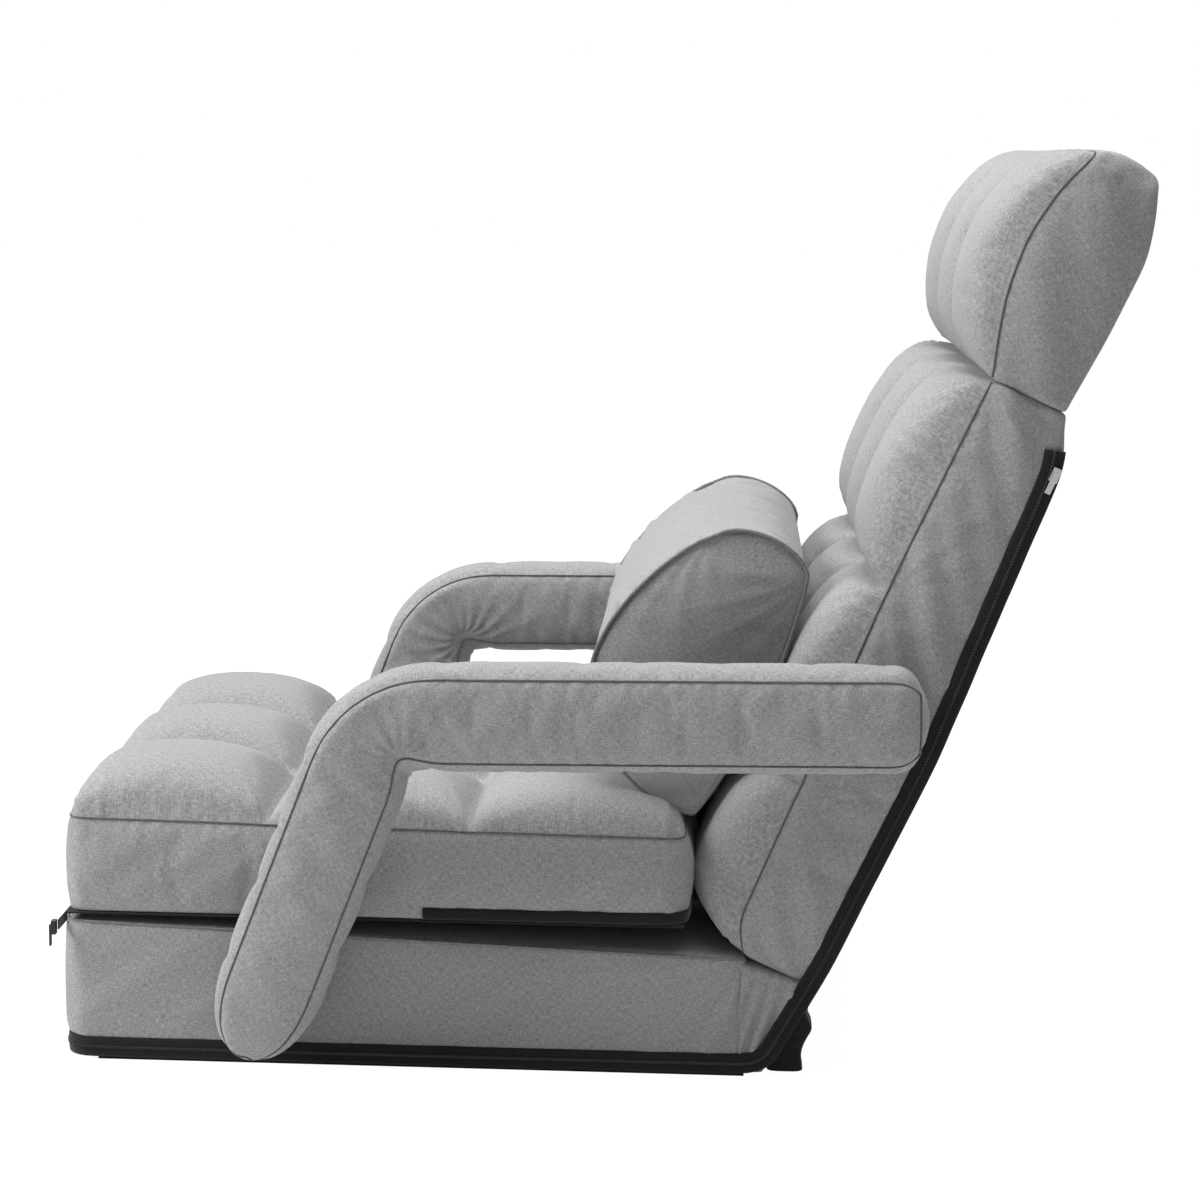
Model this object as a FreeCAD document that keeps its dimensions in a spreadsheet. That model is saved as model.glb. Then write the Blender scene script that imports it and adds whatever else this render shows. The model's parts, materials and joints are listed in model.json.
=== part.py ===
import FreeCAD, Part
import math
import os

import Sketcher
from FreeCAD import Placement, Rotation, Vector

doc = FreeCAD.newDocument("FoldingFloorChair")
sheet = doc.addObject("Spreadsheet::Sheet", "Sizes")

# The chair's own frame: X across the seat with +X on the sitter's left, the sitter
# faces -Y, +Z is up, and the origin is the middle of the base's underside.
# Every length is in millimetres and every angle in degrees.
chair_sizes = {
    # seat base
    "cushion_width": (550, "width of the base, seat pad and back"),
    "base_length": (643, "base from front face to rear end"),
    "base_height": (134, "base side seam above the floor"),
    "base_crown": (5, "rise of the base top between its seams"),
    "base_corner": (32, "rounding of the lower front edge"),
    "base_shoulder_share": (0.7, "crown left at the base's shoulder"),
    "base_front_crown": (5, "swell of the front face"),
    "base_rear_crown": (2, "swell of the rear end"),
    "underside_thickness": (1.2, "black lining under the base"),
    "band_height": (24, "zip band round the foot of the base"),
    "band_thickness": (1.6, "zip bands stand out this far"),
    # soft covers
    "cloth": (1.8, "cover cloth with its wadding"),
    "soft_gap": (0.3, "clearance between soft pieces"),
    "seat_gap": (0.4, "clearance where a loose piece rests"),
    "side_draw": (4, "how far seams pull in at the sides"),
    "shoulder_draw": (0.9, "how far seams pull in at the shoulder"),
    "shoulder": (22, "side panel to full crown"),
    "channel_share": (0.62, "crown left in a sewn channel"),
    "shoulder_share": (0.6, "crown left at the shoulder"),
    "edge_share": (0.1, "crown left at the side seam"),
    # flip-out seat pad
    "pad_length": (583, "seat pad from front to rear"),
    "pad_setback": (5.5, "pad front behind the base front"),
    "pad_side_height": (89, "pad front seam above its underside"),
    "pad_rear_height": (82, "pad rear seam above its underside"),
    "pad_sheet": (1.6, "plain cloth under the pad"),
    "front_row": (188, "front row of tufts"),
    "middle_row": (186, "middle row of tufts"),
    "front_row_crown": (46, "crown of the front row"),
    "middle_row_crown": (36, "crown of the middle row"),
    "rear_row_crown": (34, "crown of the rear row"),
    "pad_front_crown": (3.5, "swell of the pad front"),
    "pad_rear_crown": (5, "swell of the pad rear"),
    "pad_band_height": (11, "zip band along the pad's lower edge"),
    "pad_band_length": (250, "zip band from the rear corner forward"),
    # back
    "back_lean": (24, "back from vertical at rest"),
    "pivot_setback": (10, "recline axis behind the base end"),
    "pivot_height": (57, "recline axis above the floor"),
    "lower_start": (46, "lowest row above the recline axis"),
    "lower_row": (169, "height of the lowest row"),
    "lumbar_row": (197, "height of the lumbar row"),
    "upper_row": (209, "height of the upper row"),
    "head_row": (220, "height of the head cushion"),
    "seam_depth": (62, "side seam in front of the recline axis"),
    "lower_seam_depth": (32, "lowest seam in front of the axis"),
    "head_top_depth": (56, "head top seam in front of the axis"),
    "back_rear": (36, "back of the cushion behind the axis"),
    "back_crown": (55, "crown of lumbar and upper rows"),
    "lower_crown": (62, "crown of the lowest row"),
    "head_crown": (57, "crown of the head cushion"),
    "head_top_crown": (10, "rise of the head cushion's top"),
    "neck_rear": (9, "back of the neck behind the axis"),
    "neck_taper": (42, "back thins below the neck"),
    "head_rear": (3, "back of the head behind the axis"),
    "base_rear_drop": (23, "base seam falls towards the rear"),
    "rear_panel": (1.6, "black lining behind the back"),
    "band_front": (13, "side band starts behind the axis"),
    "band_width": (22, "width of the side band"),
    "band_top": (575, "side band's top end"),
    "neck_angle": (20, "fold relief each side of the neck"),
    "neck_fold_crown": (5, "swell of the two small folds at the neck"),
    "neck_crease": (3, "crease between the two small folds"),
    # steel frame
    "tube_size": (19, "outer diameter of the frame tube"),
    "tube_wall": (1.5, "wall of the frame tube"),
    "rail_offset": (236, "side tubes from the middle plane"),
    "frame_depth": (18, "back tubes in front of the axis"),
    "front_bar_setback": (62, "front bar behind the base front"),
    "middle_bar_place": (6, "middle bar from the base centre"),
    "rear_bar_setback": (75, "rear bar ahead of the base end"),
    "rail_end_setback": (38, "rail ends ahead of the base end"),
    "back_tube_start": (40, "back tube above the recline axis"),
    "lower_bar_place": (150, "lower back bar above the axis"),
    "upper_bar_place": (520, "upper back bar above the axis"),
    "head_tube_clear": (26, "neck axis to tube ends"),
    "head_top_bar_drop": (34, "head top bar below the head top"),
    # ratchet hinges
    "gear_radius": (25, "toothed disc of the recline ratchet"),
    "gear_thickness": (8, "toothed disc thickness"),
    "tooth_depth": (3, "depth of a ratchet notch"),
    "tooth_count": (14, "notches of a ratchet"),
    "tooth_share": (0.4, "share of a tooth's arc that is notched"),
    "tooth_arc": (104, "arc that the notches cover"),
    "tooth_middle": (290, "middle of the recline notches round from the rear"),
    "neck_tooth_middle": (190, "middle of the neck notches round from the rear"),
    "head_gear_radius": (17, "toothed disc of the neck ratchet"),
    "cheek": (2.5, "sheet of the ratchet cheeks"),
    "cheek_gap": (0.5, "disc to cheek"),
    "cheek_rim": (13.5, "recline cheek beyond its disc"),
    "neck_rim": (8, "neck cheek beyond its disc"),
    "pin_radius": (5, "hinge pins and arm bolts"),
    "running_gap": (0.05, "pin to hole, on the radius"),
    "pin_head": (3, "head of a hinge pin"),
    "pin_head_radius": (8, "heads of hinge pins and elbow rivets"),
    "pin_clear": (2, "foam cut back from the hinges"),
    "spigot_length": (34, "hinge spigot inside its tube"),
    "pawl_length": (10, "ratchet pawl"),
    "pawl_height": (8, "ratchet pawl"),
    "neck_pawl_length": (6, "neck ratchet pawl"),
    "pawl_angle": (245, "recline pawl round from the rear"),
    "neck_pawl_angle": (210, "neck pawl round from the rear"),
    "spring_wire": (1.6, "pawl leaf spring"),
    "spring_length": (16, "pawl leaf spring"),
    # arms
    "arm_foot_setback": (193, "lower arm pivot behind the front"),
    "arm_foot_height": (50, "lower arm pivot above the floor"),
    "arm_hinge_up": (312, "upper arm pivot above the recline axis"),
    "arm_hinge_forward": (18, "upper arm pivot in front of the axis"),
    "arm_gap": (10, "cushion side to arm"),
    "arm_width": (65, "arm across the chair"),
    "arm_height": (95, "arm pad seen from the side"),
    "arm_round": (20, "rounding of the arm pad"),
    "arm_end_length": (27, "upper arm pad beyond its rear pivot"),
    "foot_end_length": (25, "lower arm pad beyond its pivot"),
    "upright_turn": (24, "recline forward of rest to upright"),
    "elbow_gap": (0.5, "pad to pad at the elbow"),
    "bar_width": (25, "flat bar inside an arm"),
    "bar_thickness": (4, "flat bar inside an arm"),
    "bar_gap": (2, "flat bar to flat bar at the elbow"),
    "bar_swing_clear": (3.5, "upper pad cut back past its edge for the lower bar"),
    "open_gap": (0.6, "clearance of the open pivot"),
    "bolt_clear": (4, "foam cut back round a bolt"),
    "nut_size": (10, "half width of an arm nut"),
    "nut_height": (5, "arm nut"),
    # lumbar pillow
    "pillow_length": (450, "pillow across the chair"),
    "pillow_start": (136, "pillow's lower edge above the axis"),
    "pillow_height": (254, "pillow's flat side"),
    "pillow_gap": (0.9, "pillow to the crest it rests on"),
    "pillow_standoff": (17, "pillow edges in front of the crowns"),
    "pillow_depth": (104, "pillow's box side"),
    "pillow_top_share": (0.91, "top front edge along the flat side"),
    "pillow_front_crown": (98, "crown of the pillow's face"),
    "pillow_top_crown": (12, "crown of the pillow's top"),
    "pillow_edge_share": (0.82, "crown left at the pillow's end"),
    "pillow_shoulder_share": (0.97, "crown left near the pillow's end"),
    # waist fold
    "waist_fold_foot": (28, "fold's foot behind the base"),
    "waist_fold_crown": (5, "swell of the fold"),
    "waist_fold_edge_share": (0.6, "swell left at the fold's ends"),
    # zips
    "tape_setback": (3, "front zip tape behind the base front"),
    "zip_height": (9, "front zip tape"),
    "zip_thickness": (1.4, "front zip tape"),
    "slider_width": (8, "zip slider across"),
    "slider_height": (13, "zip slider"),
    "slider_depth": (4.2, "zip slider"),
    "pull_length": (20, "zip pull tab"),
    "pull_thickness": (1.6, "zip pull tab"),
}
for row, (alias, (number, meaning)) in enumerate(chair_sizes.items(), start=1):
    sheet.set(f"A{row}", meaning)
    sheet.set(f"B{row}", str(number))
    sheet.setAlias(f"B{row}", alias)
doc.recompute()


def size(alias):
    return float(sheet.get(alias))


# Places that several pieces share
half_width = size("cushion_width") / 2
base_front = -size("base_length") / 2
base_rear = size("base_length") / 2
pivot = Vector(0, base_rear + size("pivot_setback"), size("pivot_height"))
tilt = Rotation(Vector(1, 0, 0), -size("back_lean"))
world = Placement()
back_frame = Placement(pivot, tilt)
lower_top = size("lower_start") + size("lower_row")
lumbar_top = lower_top + size("lumbar_row")
neck = lumbar_top + size("upper_row")
head_top = neck + size("head_row")
tube_radius = size("tube_size") / 2
tube_bore = tube_radius - size("tube_wall")
housing_neck = 2 * tube_radius
pad_underside = size("base_height") + size("base_crown") + size("seat_gap")
pad_bottom = pad_underside + size("pad_sheet") + size("soft_gap")
pad_front = base_front + size("pad_setback")
pad_rear = pad_front + size("pad_length")
arm_inner = half_width + size("arm_gap")
arm_middle = arm_inner + size("arm_width") / 2
arm_hinge = Vector(0, -size("arm_hinge_forward"), size("arm_hinge_up"))
foot_pivot = Vector(0, base_front + size("arm_foot_setback"), size("arm_foot_height"))
arm_reach = back_frame.Rotation.multVec(arm_hinge)
elbow = foot_pivot + arm_reach
shoulder_pivot = pivot + arm_reach
lower_bar_side = arm_middle - size("bar_gap") / 2 - size("bar_thickness")
upper_bar_side = arm_middle + size("bar_gap") / 2
lower_arm_lean = math.degrees(math.atan2(arm_reach.y, arm_reach.z))
upper_arm_vector = shoulder_pivot - elbow
upper_arm_rise = math.degrees(math.atan2(upper_arm_vector.z, upper_arm_vector.y))
# an arm's own frame has its long side along +Z
lower_arm_frame = Placement(foot_pivot, Rotation(Vector(1, 0, 0), -lower_arm_lean))
upper_arm_frame = Placement(elbow, Rotation(Vector(1, 0, 0), upper_arm_rise - 90))
sides = {"left": 1, "right": -1}
kept = []


def name_it(piece, label):
    """Gives a finished sub-part its node name and keeps it for export."""
    piece.Label = label
    kept.append(piece)
    return piece


def bind(piece, **formulas):
    for prop, formula in formulas.items():
        piece.setExpression(prop, formula)
    return piece


def block(low, high, frame=world, **formulas):
    """A box between two corners of a frame."""
    piece = doc.addObject("Part::Box", "Block")
    piece.Length, piece.Width, piece.Height = high - low
    bind(piece, **formulas)
    piece.Placement = frame.multiply(Placement(low, Rotation()))
    return piece


def rod(start, end, radius, frame=world):
    """A round bar from start to end, its radius bound to the sheet."""
    piece = doc.addObject("Part::Cylinder", "Rod")
    bind(piece, Radius=radius)
    piece.Height = (end - start).Length
    turn = Rotation(Vector(0, 0, 1), end - start)
    piece.Placement = frame.multiply(Placement(start, turn))
    return piece


def fuse(pieces):
    joined = doc.addObject("Part::MultiFuse", "Joined")
    joined.Shapes = pieces
    joined.Refine = True
    return joined


def cut(piece, tools):
    made = doc.addObject("Part::Cut", "Trimmed")
    made.Base = piece
    made.Tool = tools[0] if len(tools) == 1 else fuse(tools)
    return made


def group(pieces):
    """Separate like pieces that share one node."""
    together = doc.addObject("Part::Compound", "Set")
    together.Links = pieces
    return together


def tube(start, end, frame=world):
    """A length of the frame's steel tube."""
    outer = rod(start, end, "Sizes.tube_size / 2", frame)
    inner = rod(start, end, "Sizes.tube_size / 2 - Sizes.tube_wall", frame)
    return cut(outer, [inner])


def cross_tube(place, frame=world):
    """A bar between the side tubes, its ends shaped to fit round them."""
    ends = [Vector(sign * size("rail_offset"), place.y, place.z) for sign in (-1, 1)]
    along = Vector(0, 0, 3 * size("tube_size"))
    if frame is world:
        along = Vector(0, 3 * size("tube_size"), 0)
    notches = [rod(end - along, end + along, "Sizes.tube_size / 2", frame) for end in ends]
    return cut(tube(ends[0], ends[1], frame), notches)


def keep_shape(shape, label, frame=world):
    """A sub-part whose shape is worked out here rather than by one feature."""
    piece = doc.addObject("Part::Feature", "Shaped")
    piece.Shape = shape
    piece.Placement = frame
    return name_it(piece, label)


# Soft forms: a section is a closed outline of lines and shallow arcs in a plane
# across X. Each edge has a crown and an inset, and sections are joined by a loft.
def inset_corner(here, before, after, in_before, in_after):
    """Moves a corner so that both its edges step inwards by their insets."""
    first = Vector(0, here.z - before.z, -(here.y - before.y)).normalize()
    second = Vector(0, after.z - here.z, -(after.y - here.y)).normalize()
    across = first.y * second.z - first.z * second.y
    nearly_straight = 0.05
    if abs(across) < nearly_straight:
        normal = (first + second).normalize()
        return here - normal * ((in_before + in_after) / 2)
    move_y = (-in_before * second.z + in_after * first.z) / across
    move_z = (-in_after * first.y + in_before * second.y) / across
    return here + Vector(0, move_y, move_z)


def section(across, corners, crowns, insets):
    points = []
    for index, (level, height) in enumerate(corners):
        before = corners[index - 1]
        after = corners[(index + 1) % len(corners)]
        points.append(
            inset_corner(
                Vector(across, level, height),
                Vector(across, *before),
                Vector(across, *after),
                insets[index - 1],
                insets[index],
            )
        )
    edges = []
    for index, start in enumerate(points):
        end = points[(index + 1) % len(points)]
        if crowns[index] == 0:
            edges.append(Part.LineSegment(start, end).toShape())
            continue
        outward = Vector(0, end.z - start.z, start.y - end.y).normalize()
        middle = (start + end) * 0.5 + outward * crowns[index]
        edges.append(Part.Arc(start, middle, end).toShape())
    return Part.Wire(edges)


def plain_stations(width, edge, high):
    """Places across a cushion that has no channels, with the crown's share there."""
    half = width / 2
    near = half - size("shoulder")
    full = half - 3 * size("shoulder")
    missing = 1 - high
    half_way = [
        (near, high),
        ((near + full) / 2, 1 - missing / 4),
        (full, 1 - missing / 16),
        (full / 2, 1.0),
    ]
    left = [(-place, share) for place, share in half_way]
    return [(-half, edge), *left, (0.0, 1.0), *half_way[::-1], (half, edge)]


def lobe_stations(width, lobes):
    """Places across a cushion with the share of the crown that each has."""
    half = width / 2
    edge, high = size("edge_share"), size("shoulder_share")
    stations = [(-half, edge), (-half + size("shoulder"), high)]
    for lobe in range(lobes):
        middle = -half + (lobe + 0.5) * width / lobes
        stations.append((middle, 1.0))
        if lobe < lobes - 1:
            stations.append((middle + width / lobes / 2, size("channel_share")))
    stations += [(half - size("shoulder"), high), (half, edge)]
    return stations


def cushion(stations, corners, crowns, inset=0.0, flat=(), steady=()):
    """A crowned cushion with sewn channels. Edges in flat don't draw in at the
    sides, and edges in steady keep their crown all the way across."""
    wires = []
    half = stations[-1][0]
    for place, share in stations:
        from_side = half - abs(place)
        draw = 0.0
        if from_side == 0:
            draw = size("side_draw")
        elif from_side <= size("shoulder"):
            draw = size("shoulder_draw")
        insets = []
        for index in range(len(corners)):
            if index in flat:
                insets.append(inset)
            else:
                insets.append(inset + draw)
        swells = [
            crown if index in steady else crown * share
            for index, crown in enumerate(crowns)
        ]
        squeezed = place * (half - inset) / half
        wires.append(section(squeezed, corners, swells, insets))
    return Part.makeLoft(wires, True, False)


def mouth(corners, index, half):
    """What opens a cover along one of its edges and leaves a hem round the opening."""
    hem = size("side_draw") + size("cloth")
    start = Vector(hem - half, *corners[index])
    end = Vector(hem - half, *corners[(index + 1) % len(corners)])
    along = (end - start).normalize()
    through = Vector(0, along.z, -along.y) * 2 * size("cloth")
    start += along * hem
    end -= along * hem
    points = [start + through, end + through, end - through, start - through]
    face = Part.Face(Part.makePolygon(points + points[:1]))
    return face.extrude(Vector(2 * (half - hem), 0, 0))


def cover_and_foam(stations, corners, crowns, windows=(), opened=(), steady=()):
    """A sewn cover, open along the edges in opened, and the foam inside it, both
    cut clear of the steel and bolts in windows."""
    within = size("cloth") + size("soft_gap")
    outer = cushion(stations, corners, crowns, 0.0, opened, steady)
    inner = cushion(stations, corners, crowns, size("cloth"), opened, steady)
    filling = cushion(stations, corners, crowns, within, opened, steady)
    shell = outer.cut(inner)
    for index in opened:
        shell = shell.cut(mouth(corners, index, stations[-1][0]))
    for window in windows:
        shell = shell.cut(window)
        filling = filling.cut(window)
    return shell, filling


def box_shape(low, high):
    return Part.makeBox(high.x - low.x, high.y - low.y, high.z - low.z, low)


def tube_slot(start, end, clear, open_to=None):
    """The square channel that the foam has round a tube; open_to drops its floor."""
    reach = tube_radius + clear
    low = Vector(
        min(start.x, end.x) - reach, min(start.y, end.y) - reach, min(start.z, end.z) - reach
    )
    high = Vector(
        max(start.x, end.x) + reach, max(start.y, end.y) + reach, max(start.z, end.z) + reach
    )
    if open_to is not None:
        low.z = open_to
    return box_shape(low, high)


def hinge_window(low_y, high_y, low_z, high_z):
    """Room for a ratchet hinge on each side of the chair."""
    room = size("gear_thickness") / 2 + size("cheek_gap") + size("cheek") + size("pin_head")
    room = max(room, tube_radius) + size("pin_clear")
    windows = []
    for sign in sides.values():
        middle = sign * size("rail_offset")
        low = Vector(middle - room, low_y, low_z)
        windows.append(box_shape(low, Vector(middle + room, high_y, high_z)))
    return windows


def bolt_hole(centre, clear):
    """Room for a bolt that runs across the chair from a side tube outwards."""
    radius = size("pin_radius") + clear
    reach = arm_middle
    holes = []
    for sign in sides.values():
        start = Vector(sign * size("rail_offset"), centre.y, centre.z)
        holes.append(Part.makeCylinder(radius, reach, start, Vector(sign, 0, 0)))
    return holes


# Base frame: two side rails and three bars, all of one steel tube
rail_height = size("arm_foot_height")
front_bar_place = base_front + size("front_bar_setback")
rear_bar_place = base_rear - size("rear_bar_setback")
rail_end = base_rear - size("rail_end_setback")
name_it(
    group(
        [
            tube(
                Vector(sign * size("rail_offset"), front_bar_place - 2 * tube_radius, rail_height),
                Vector(sign * size("rail_offset"), rail_end, rail_height),
            )
            for sign in sides.values()
        ]
    ),
    "base_rails",
)
bar_places = [front_bar_place, size("middle_bar_place"), rear_bar_place]
name_it(
    group([cross_tube(Vector(0, along, rail_height)) for along in bar_places]),
    "base_cross_bars",
)


def cheek_plates(centre, foot, radius):
    """The two cheeks of a ratchet housing, from the pin to the tube's end."""
    inner = size("gear_thickness") / 2 + size("cheek_gap")
    direction = foot - centre
    length = direction.Length
    direction = direction.normalize()
    normal = Vector(0, -direction.z, direction.y)
    wide = radius
    slim = tube_radius
    made = []
    for face in (inner, -inner - size("cheek")):
        start = centre + Vector(face, 0, 0)
        far = start + direction * length
        edges = [
            Part.LineSegment(start + normal * wide, far + normal * slim).toShape(),
            Part.Arc(far + normal * slim, far + direction * slim, far - normal * slim).toShape(),
            Part.LineSegment(far - normal * slim, start - normal * wide).toShape(),
            Part.Arc(start - normal * wide, start - direction * wide, start + normal * wide).toShape(),
        ]
        face_shape = Part.Face(Part.Wire(edges))
        made.append(face_shape.extrude(Vector(size("cheek"), 0, 0)))
    return made


def housing(centre, foot, spigot_way, radius, rim):
    """A ratchet housing: two cheeks, a collar between them and a spigot in the tube."""
    plates = cheek_plates(centre, foot, radius + rim)
    inner = size("gear_thickness") / 2 + size("cheek_gap") + size("cheek")
    collar = Part.makeCylinder(
        tube_radius, 2 * inner, foot - Vector(inner, 0, 0), Vector(1, 0, 0)
    )
    neck_piece = Part.makeCylinder(tube_radius, housing_neck, foot, spigot_way)
    spigot_start = foot + spigot_way * (housing_neck)
    spigot = Part.makeCylinder(tube_bore, size("spigot_length"), spigot_start, spigot_way)
    body = plates[0]
    for extra in (plates[1], collar, neck_piece, spigot):
        body = body.fuse(extra)
    hole = Part.makeCylinder(
        size("pin_radius") + size("running_gap"),
        4 * inner,
        centre - Vector(2 * inner, 0, 0),
        Vector(1, 0, 0),
    )
    clear_disc = Part.makeCylinder(
        radius + size("soft_gap"),
        size("gear_thickness") + 2 * size("cheek_gap"),
        centre - Vector(size("gear_thickness") / 2 + size("cheek_gap"), 0, 0),
        Vector(1, 0, 0),
    )
    return body.cut(hole).cut(clear_disc).removeSplitter()


def pair(shape_of_side):
    """One solid for each side of the chair, as one shape."""
    return Part.makeCompound([shape_of_side(sign) for sign in sides.values()])


def at_side(shape, sign):
    moved = shape.copy()
    moved.translate(Vector(sign * size("rail_offset"), 0, 0))
    return moved


# Recline ratchet: housing on the base rail, toothed disc on the back tube
housing_foot = Vector(0, rail_end + housing_neck, rail_height)
base_housing = housing(
    pivot, housing_foot, Vector(0, -1, 0), size("gear_radius"), size("cheek_rim")
)
keep_shape(pair(lambda sign: at_side(base_housing, sign)), "recline_housings")


def toothed_disc(label, radius_alias, middle):
    """A ratchet disc as a body: a round plate with a ring of notches."""
    body = doc.addObject("PartDesign::Body", label)
    plane = next(f for f in body.Origin.OriginFeatures if f.Role == "YZ_Plane")
    outline = body.newObject("Sketcher::SketchObject", label + "_outline")
    outline.AttachmentSupport = [(plane, "")]
    outline.MapMode = "FlatFace"
    radius = size(radius_alias)
    centre = Vector(0, 0, 0)
    up = Vector(0, 0, 1)
    outline.addGeometry(Part.Circle(centre, up, radius), False)
    outline.addConstraint(Sketcher.Constraint("Coincident", 0, 3, -1, 1))
    outline.addConstraint(Sketcher.Constraint("Radius", 0, radius))
    outline.setExpression("Constraints[1]", "Sizes." + radius_alias)
    outline.addGeometry(Part.Circle(centre, up, size("pin_radius")), False)
    outline.addConstraint(Sketcher.Constraint("Coincident", 1, 3, -1, 1))
    outline.addConstraint(Sketcher.Constraint("Radius", 1, size("pin_radius")))
    outline.setExpression("Constraints[3]", "Sizes.pin_radius + Sizes.running_gap")
    plate = body.newObject("PartDesign::Pad", label + "_plate")
    plate.Profile = outline
    plate.Midplane = True
    plate.setExpression("Length", "Sizes.gear_thickness")
    doc.recompute()
    notch = body.newObject("Sketcher::SketchObject", label + "_notch")
    notch.AttachmentSupport = [(plane, "")]
    notch.MapMode = "FlatFace"
    first = math.radians(middle - size("tooth_arc") / 2)
    step = math.radians(size("tooth_arc") / (size("tooth_count") - 1)) * size("tooth_share")
    beyond = radius + size("tooth_depth")
    root = radius - size("tooth_depth")
    corners = [
        Vector(root * math.cos(first), root * math.sin(first), 0),
        Vector(beyond * math.cos(first), beyond * math.sin(first), 0),
        Vector(beyond * math.cos(first + step), beyond * math.sin(first + step), 0),
    ]
    for index, corner in enumerate(corners):
        notch.addGeometry(Part.LineSegment(corner, corners[(index + 1) % 3]), False)
    for index in range(3):
        notch.addConstraint(
            Sketcher.Constraint("Coincident", index, 2, (index + 1) % 3, 1)
        )
    pocket = body.newObject("PartDesign::Pocket", label + "_tooth")
    pocket.Profile = notch
    pocket.Midplane = True
    pocket.Type = 1
    doc.recompute()
    teeth = body.newObject("PartDesign::PolarPattern", label + "_teeth")
    teeth.Originals = [pocket]
    teeth.Axis = (notch, ["N_Axis"])
    teeth.setExpression("Angle", "Sizes.tooth_arc")
    teeth.setExpression("Occurrences", "Sizes.tooth_count")
    body.Tip = teeth
    doc.recompute()
    return body


def disc_on_tube(body, centre, tube_line, spigot_base, spigot_top, sign):
    """A toothed disc with the arm and spigot that carry its tube."""
    arm_low = Vector(-size("gear_thickness") / 2, tube_line - tube_bore, centre.z + tube_bore)
    arm_high = Vector(size("gear_thickness") / 2, tube_line + tube_bore, spigot_base)
    arm = box_shape(arm_low, arm_high)
    hub = Part.makeCylinder(
        size("pin_radius") + size("running_gap"),
        2 * size("gear_thickness"),
        centre - Vector(size("gear_thickness"), 0, 0),
        Vector(1, 0, 0),
    )
    spigot = Part.makeCylinder(
        tube_bore, spigot_top - spigot_base, Vector(0, tube_line, spigot_base), Vector(0, 0, 1)
    )
    turned = body.Shape.copy()
    turned.translate(centre)
    whole = turned.fuse(arm).fuse(spigot).cut(hub).removeSplitter()
    return at_side(whole, sign)


recline_disc = toothed_disc("RatchetDisc", "gear_radius", size("tooth_middle"))
neck_disc = toothed_disc("NeckDisc", "head_gear_radius", size("neck_tooth_middle"))
tube_line = -size("frame_depth")
back_spigot_top = size("back_tube_start") + size("spigot_length")


def recline_gear(sign):
    return disc_on_tube(
        recline_disc, Vector(), tube_line, size("back_tube_start"), back_spigot_top, sign
    )


keep_shape(pair(recline_gear), "recline_gears", back_frame)


def hinge_pins(centre, frame, label):
    """Headed pins through a pair of ratchet hinges."""
    reach = size("gear_thickness") / 2 + size("cheek_gap") + size("cheek")
    pins = []
    for sign in sides.values():
        middle = Vector(sign * size("rail_offset"), centre.y, centre.z)
        step = Vector(reach, 0, 0)
        cap = Vector(reach + size("pin_head"), 0, 0)
        shank = rod(middle - step, middle + step, "Sizes.pin_radius", frame)
        heads = [
            rod(middle + step, middle + cap, "Sizes.pin_head_radius", frame),
            rod(middle - cap, middle - step, "Sizes.pin_head_radius", frame),
        ]
        pins.append(fuse([shank, *heads]))
    return name_it(group(pins), label)


hinge_pins(pivot, world, "recline_pins")


# Back frame
neck_axis = Vector(0, tube_line, neck)
back_tube_end = neck - size("head_tube_clear") - housing_neck


def side_tubes(low, high, label):
    """A pair of tubes that run up the back's own frame, one at each side."""
    pairs = []
    for sign in sides.values():
        across = sign * size("rail_offset")
        start = Vector(across, tube_line, low)
        pairs.append(tube(start, Vector(across, tube_line, high), back_frame))
    return name_it(group(pairs), label)


side_tubes(size("back_tube_start"), back_tube_end, "back_side_tubes")
back_bar_levels = [size("lower_bar_place"), size("upper_bar_place")]
name_it(
    group([cross_tube(Vector(0, tube_line, level), back_frame) for level in back_bar_levels]),
    "back_cross_bars",
)

neck_foot = Vector(0, tube_line, back_tube_end + housing_neck)
neck_housing = housing(
    neck_axis, neck_foot, Vector(0, 0, -1), size("head_gear_radius"), size("neck_rim")
)
keep_shape(pair(lambda sign: at_side(neck_housing, sign)), "neck_housings", back_frame)
hinge_pins(neck_axis, back_frame, "neck_pins")

# Head frame
head_tube_start = neck + size("head_tube_clear")
head_tube_end = head_top - size("head_top_bar_drop")
head_spigot_top = head_tube_start + size("spigot_length")


def neck_gear(sign):
    return disc_on_tube(
        neck_disc, neck_axis, tube_line, head_tube_start, head_spigot_top, sign
    )


keep_shape(pair(neck_gear), "neck_gears", back_frame)
side_tubes(head_tube_start, head_tube_end, "head_side_tubes")
head_bar_place = head_tube_end - 2 * tube_radius
name_it(cross_tube(Vector(0, tube_line, head_bar_place), back_frame), "head_top_bar")

# Ratchet pawls, each with a leaf spring behind it


def pawl_blocks(centre, radius, way, start, length, height):
    """A pair of small blocks between the cheeks, on a line out of the disc's centre."""
    thick = size("gear_thickness")
    turn = Rotation(Vector(1, 0, 0), way)
    made = []
    for sign in sides.values():
        piece = Part.makeBox(thick, length, height)
        corner = Vector(-thick / 2, radius + start, -height / 2)
        middle = centre + Vector(sign * size("rail_offset"), 0, 0)
        piece.Placement = Placement(middle, turn).multiply(Placement(corner, Rotation()))
        made.append(piece)
    return Part.makeCompound(made)


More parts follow.
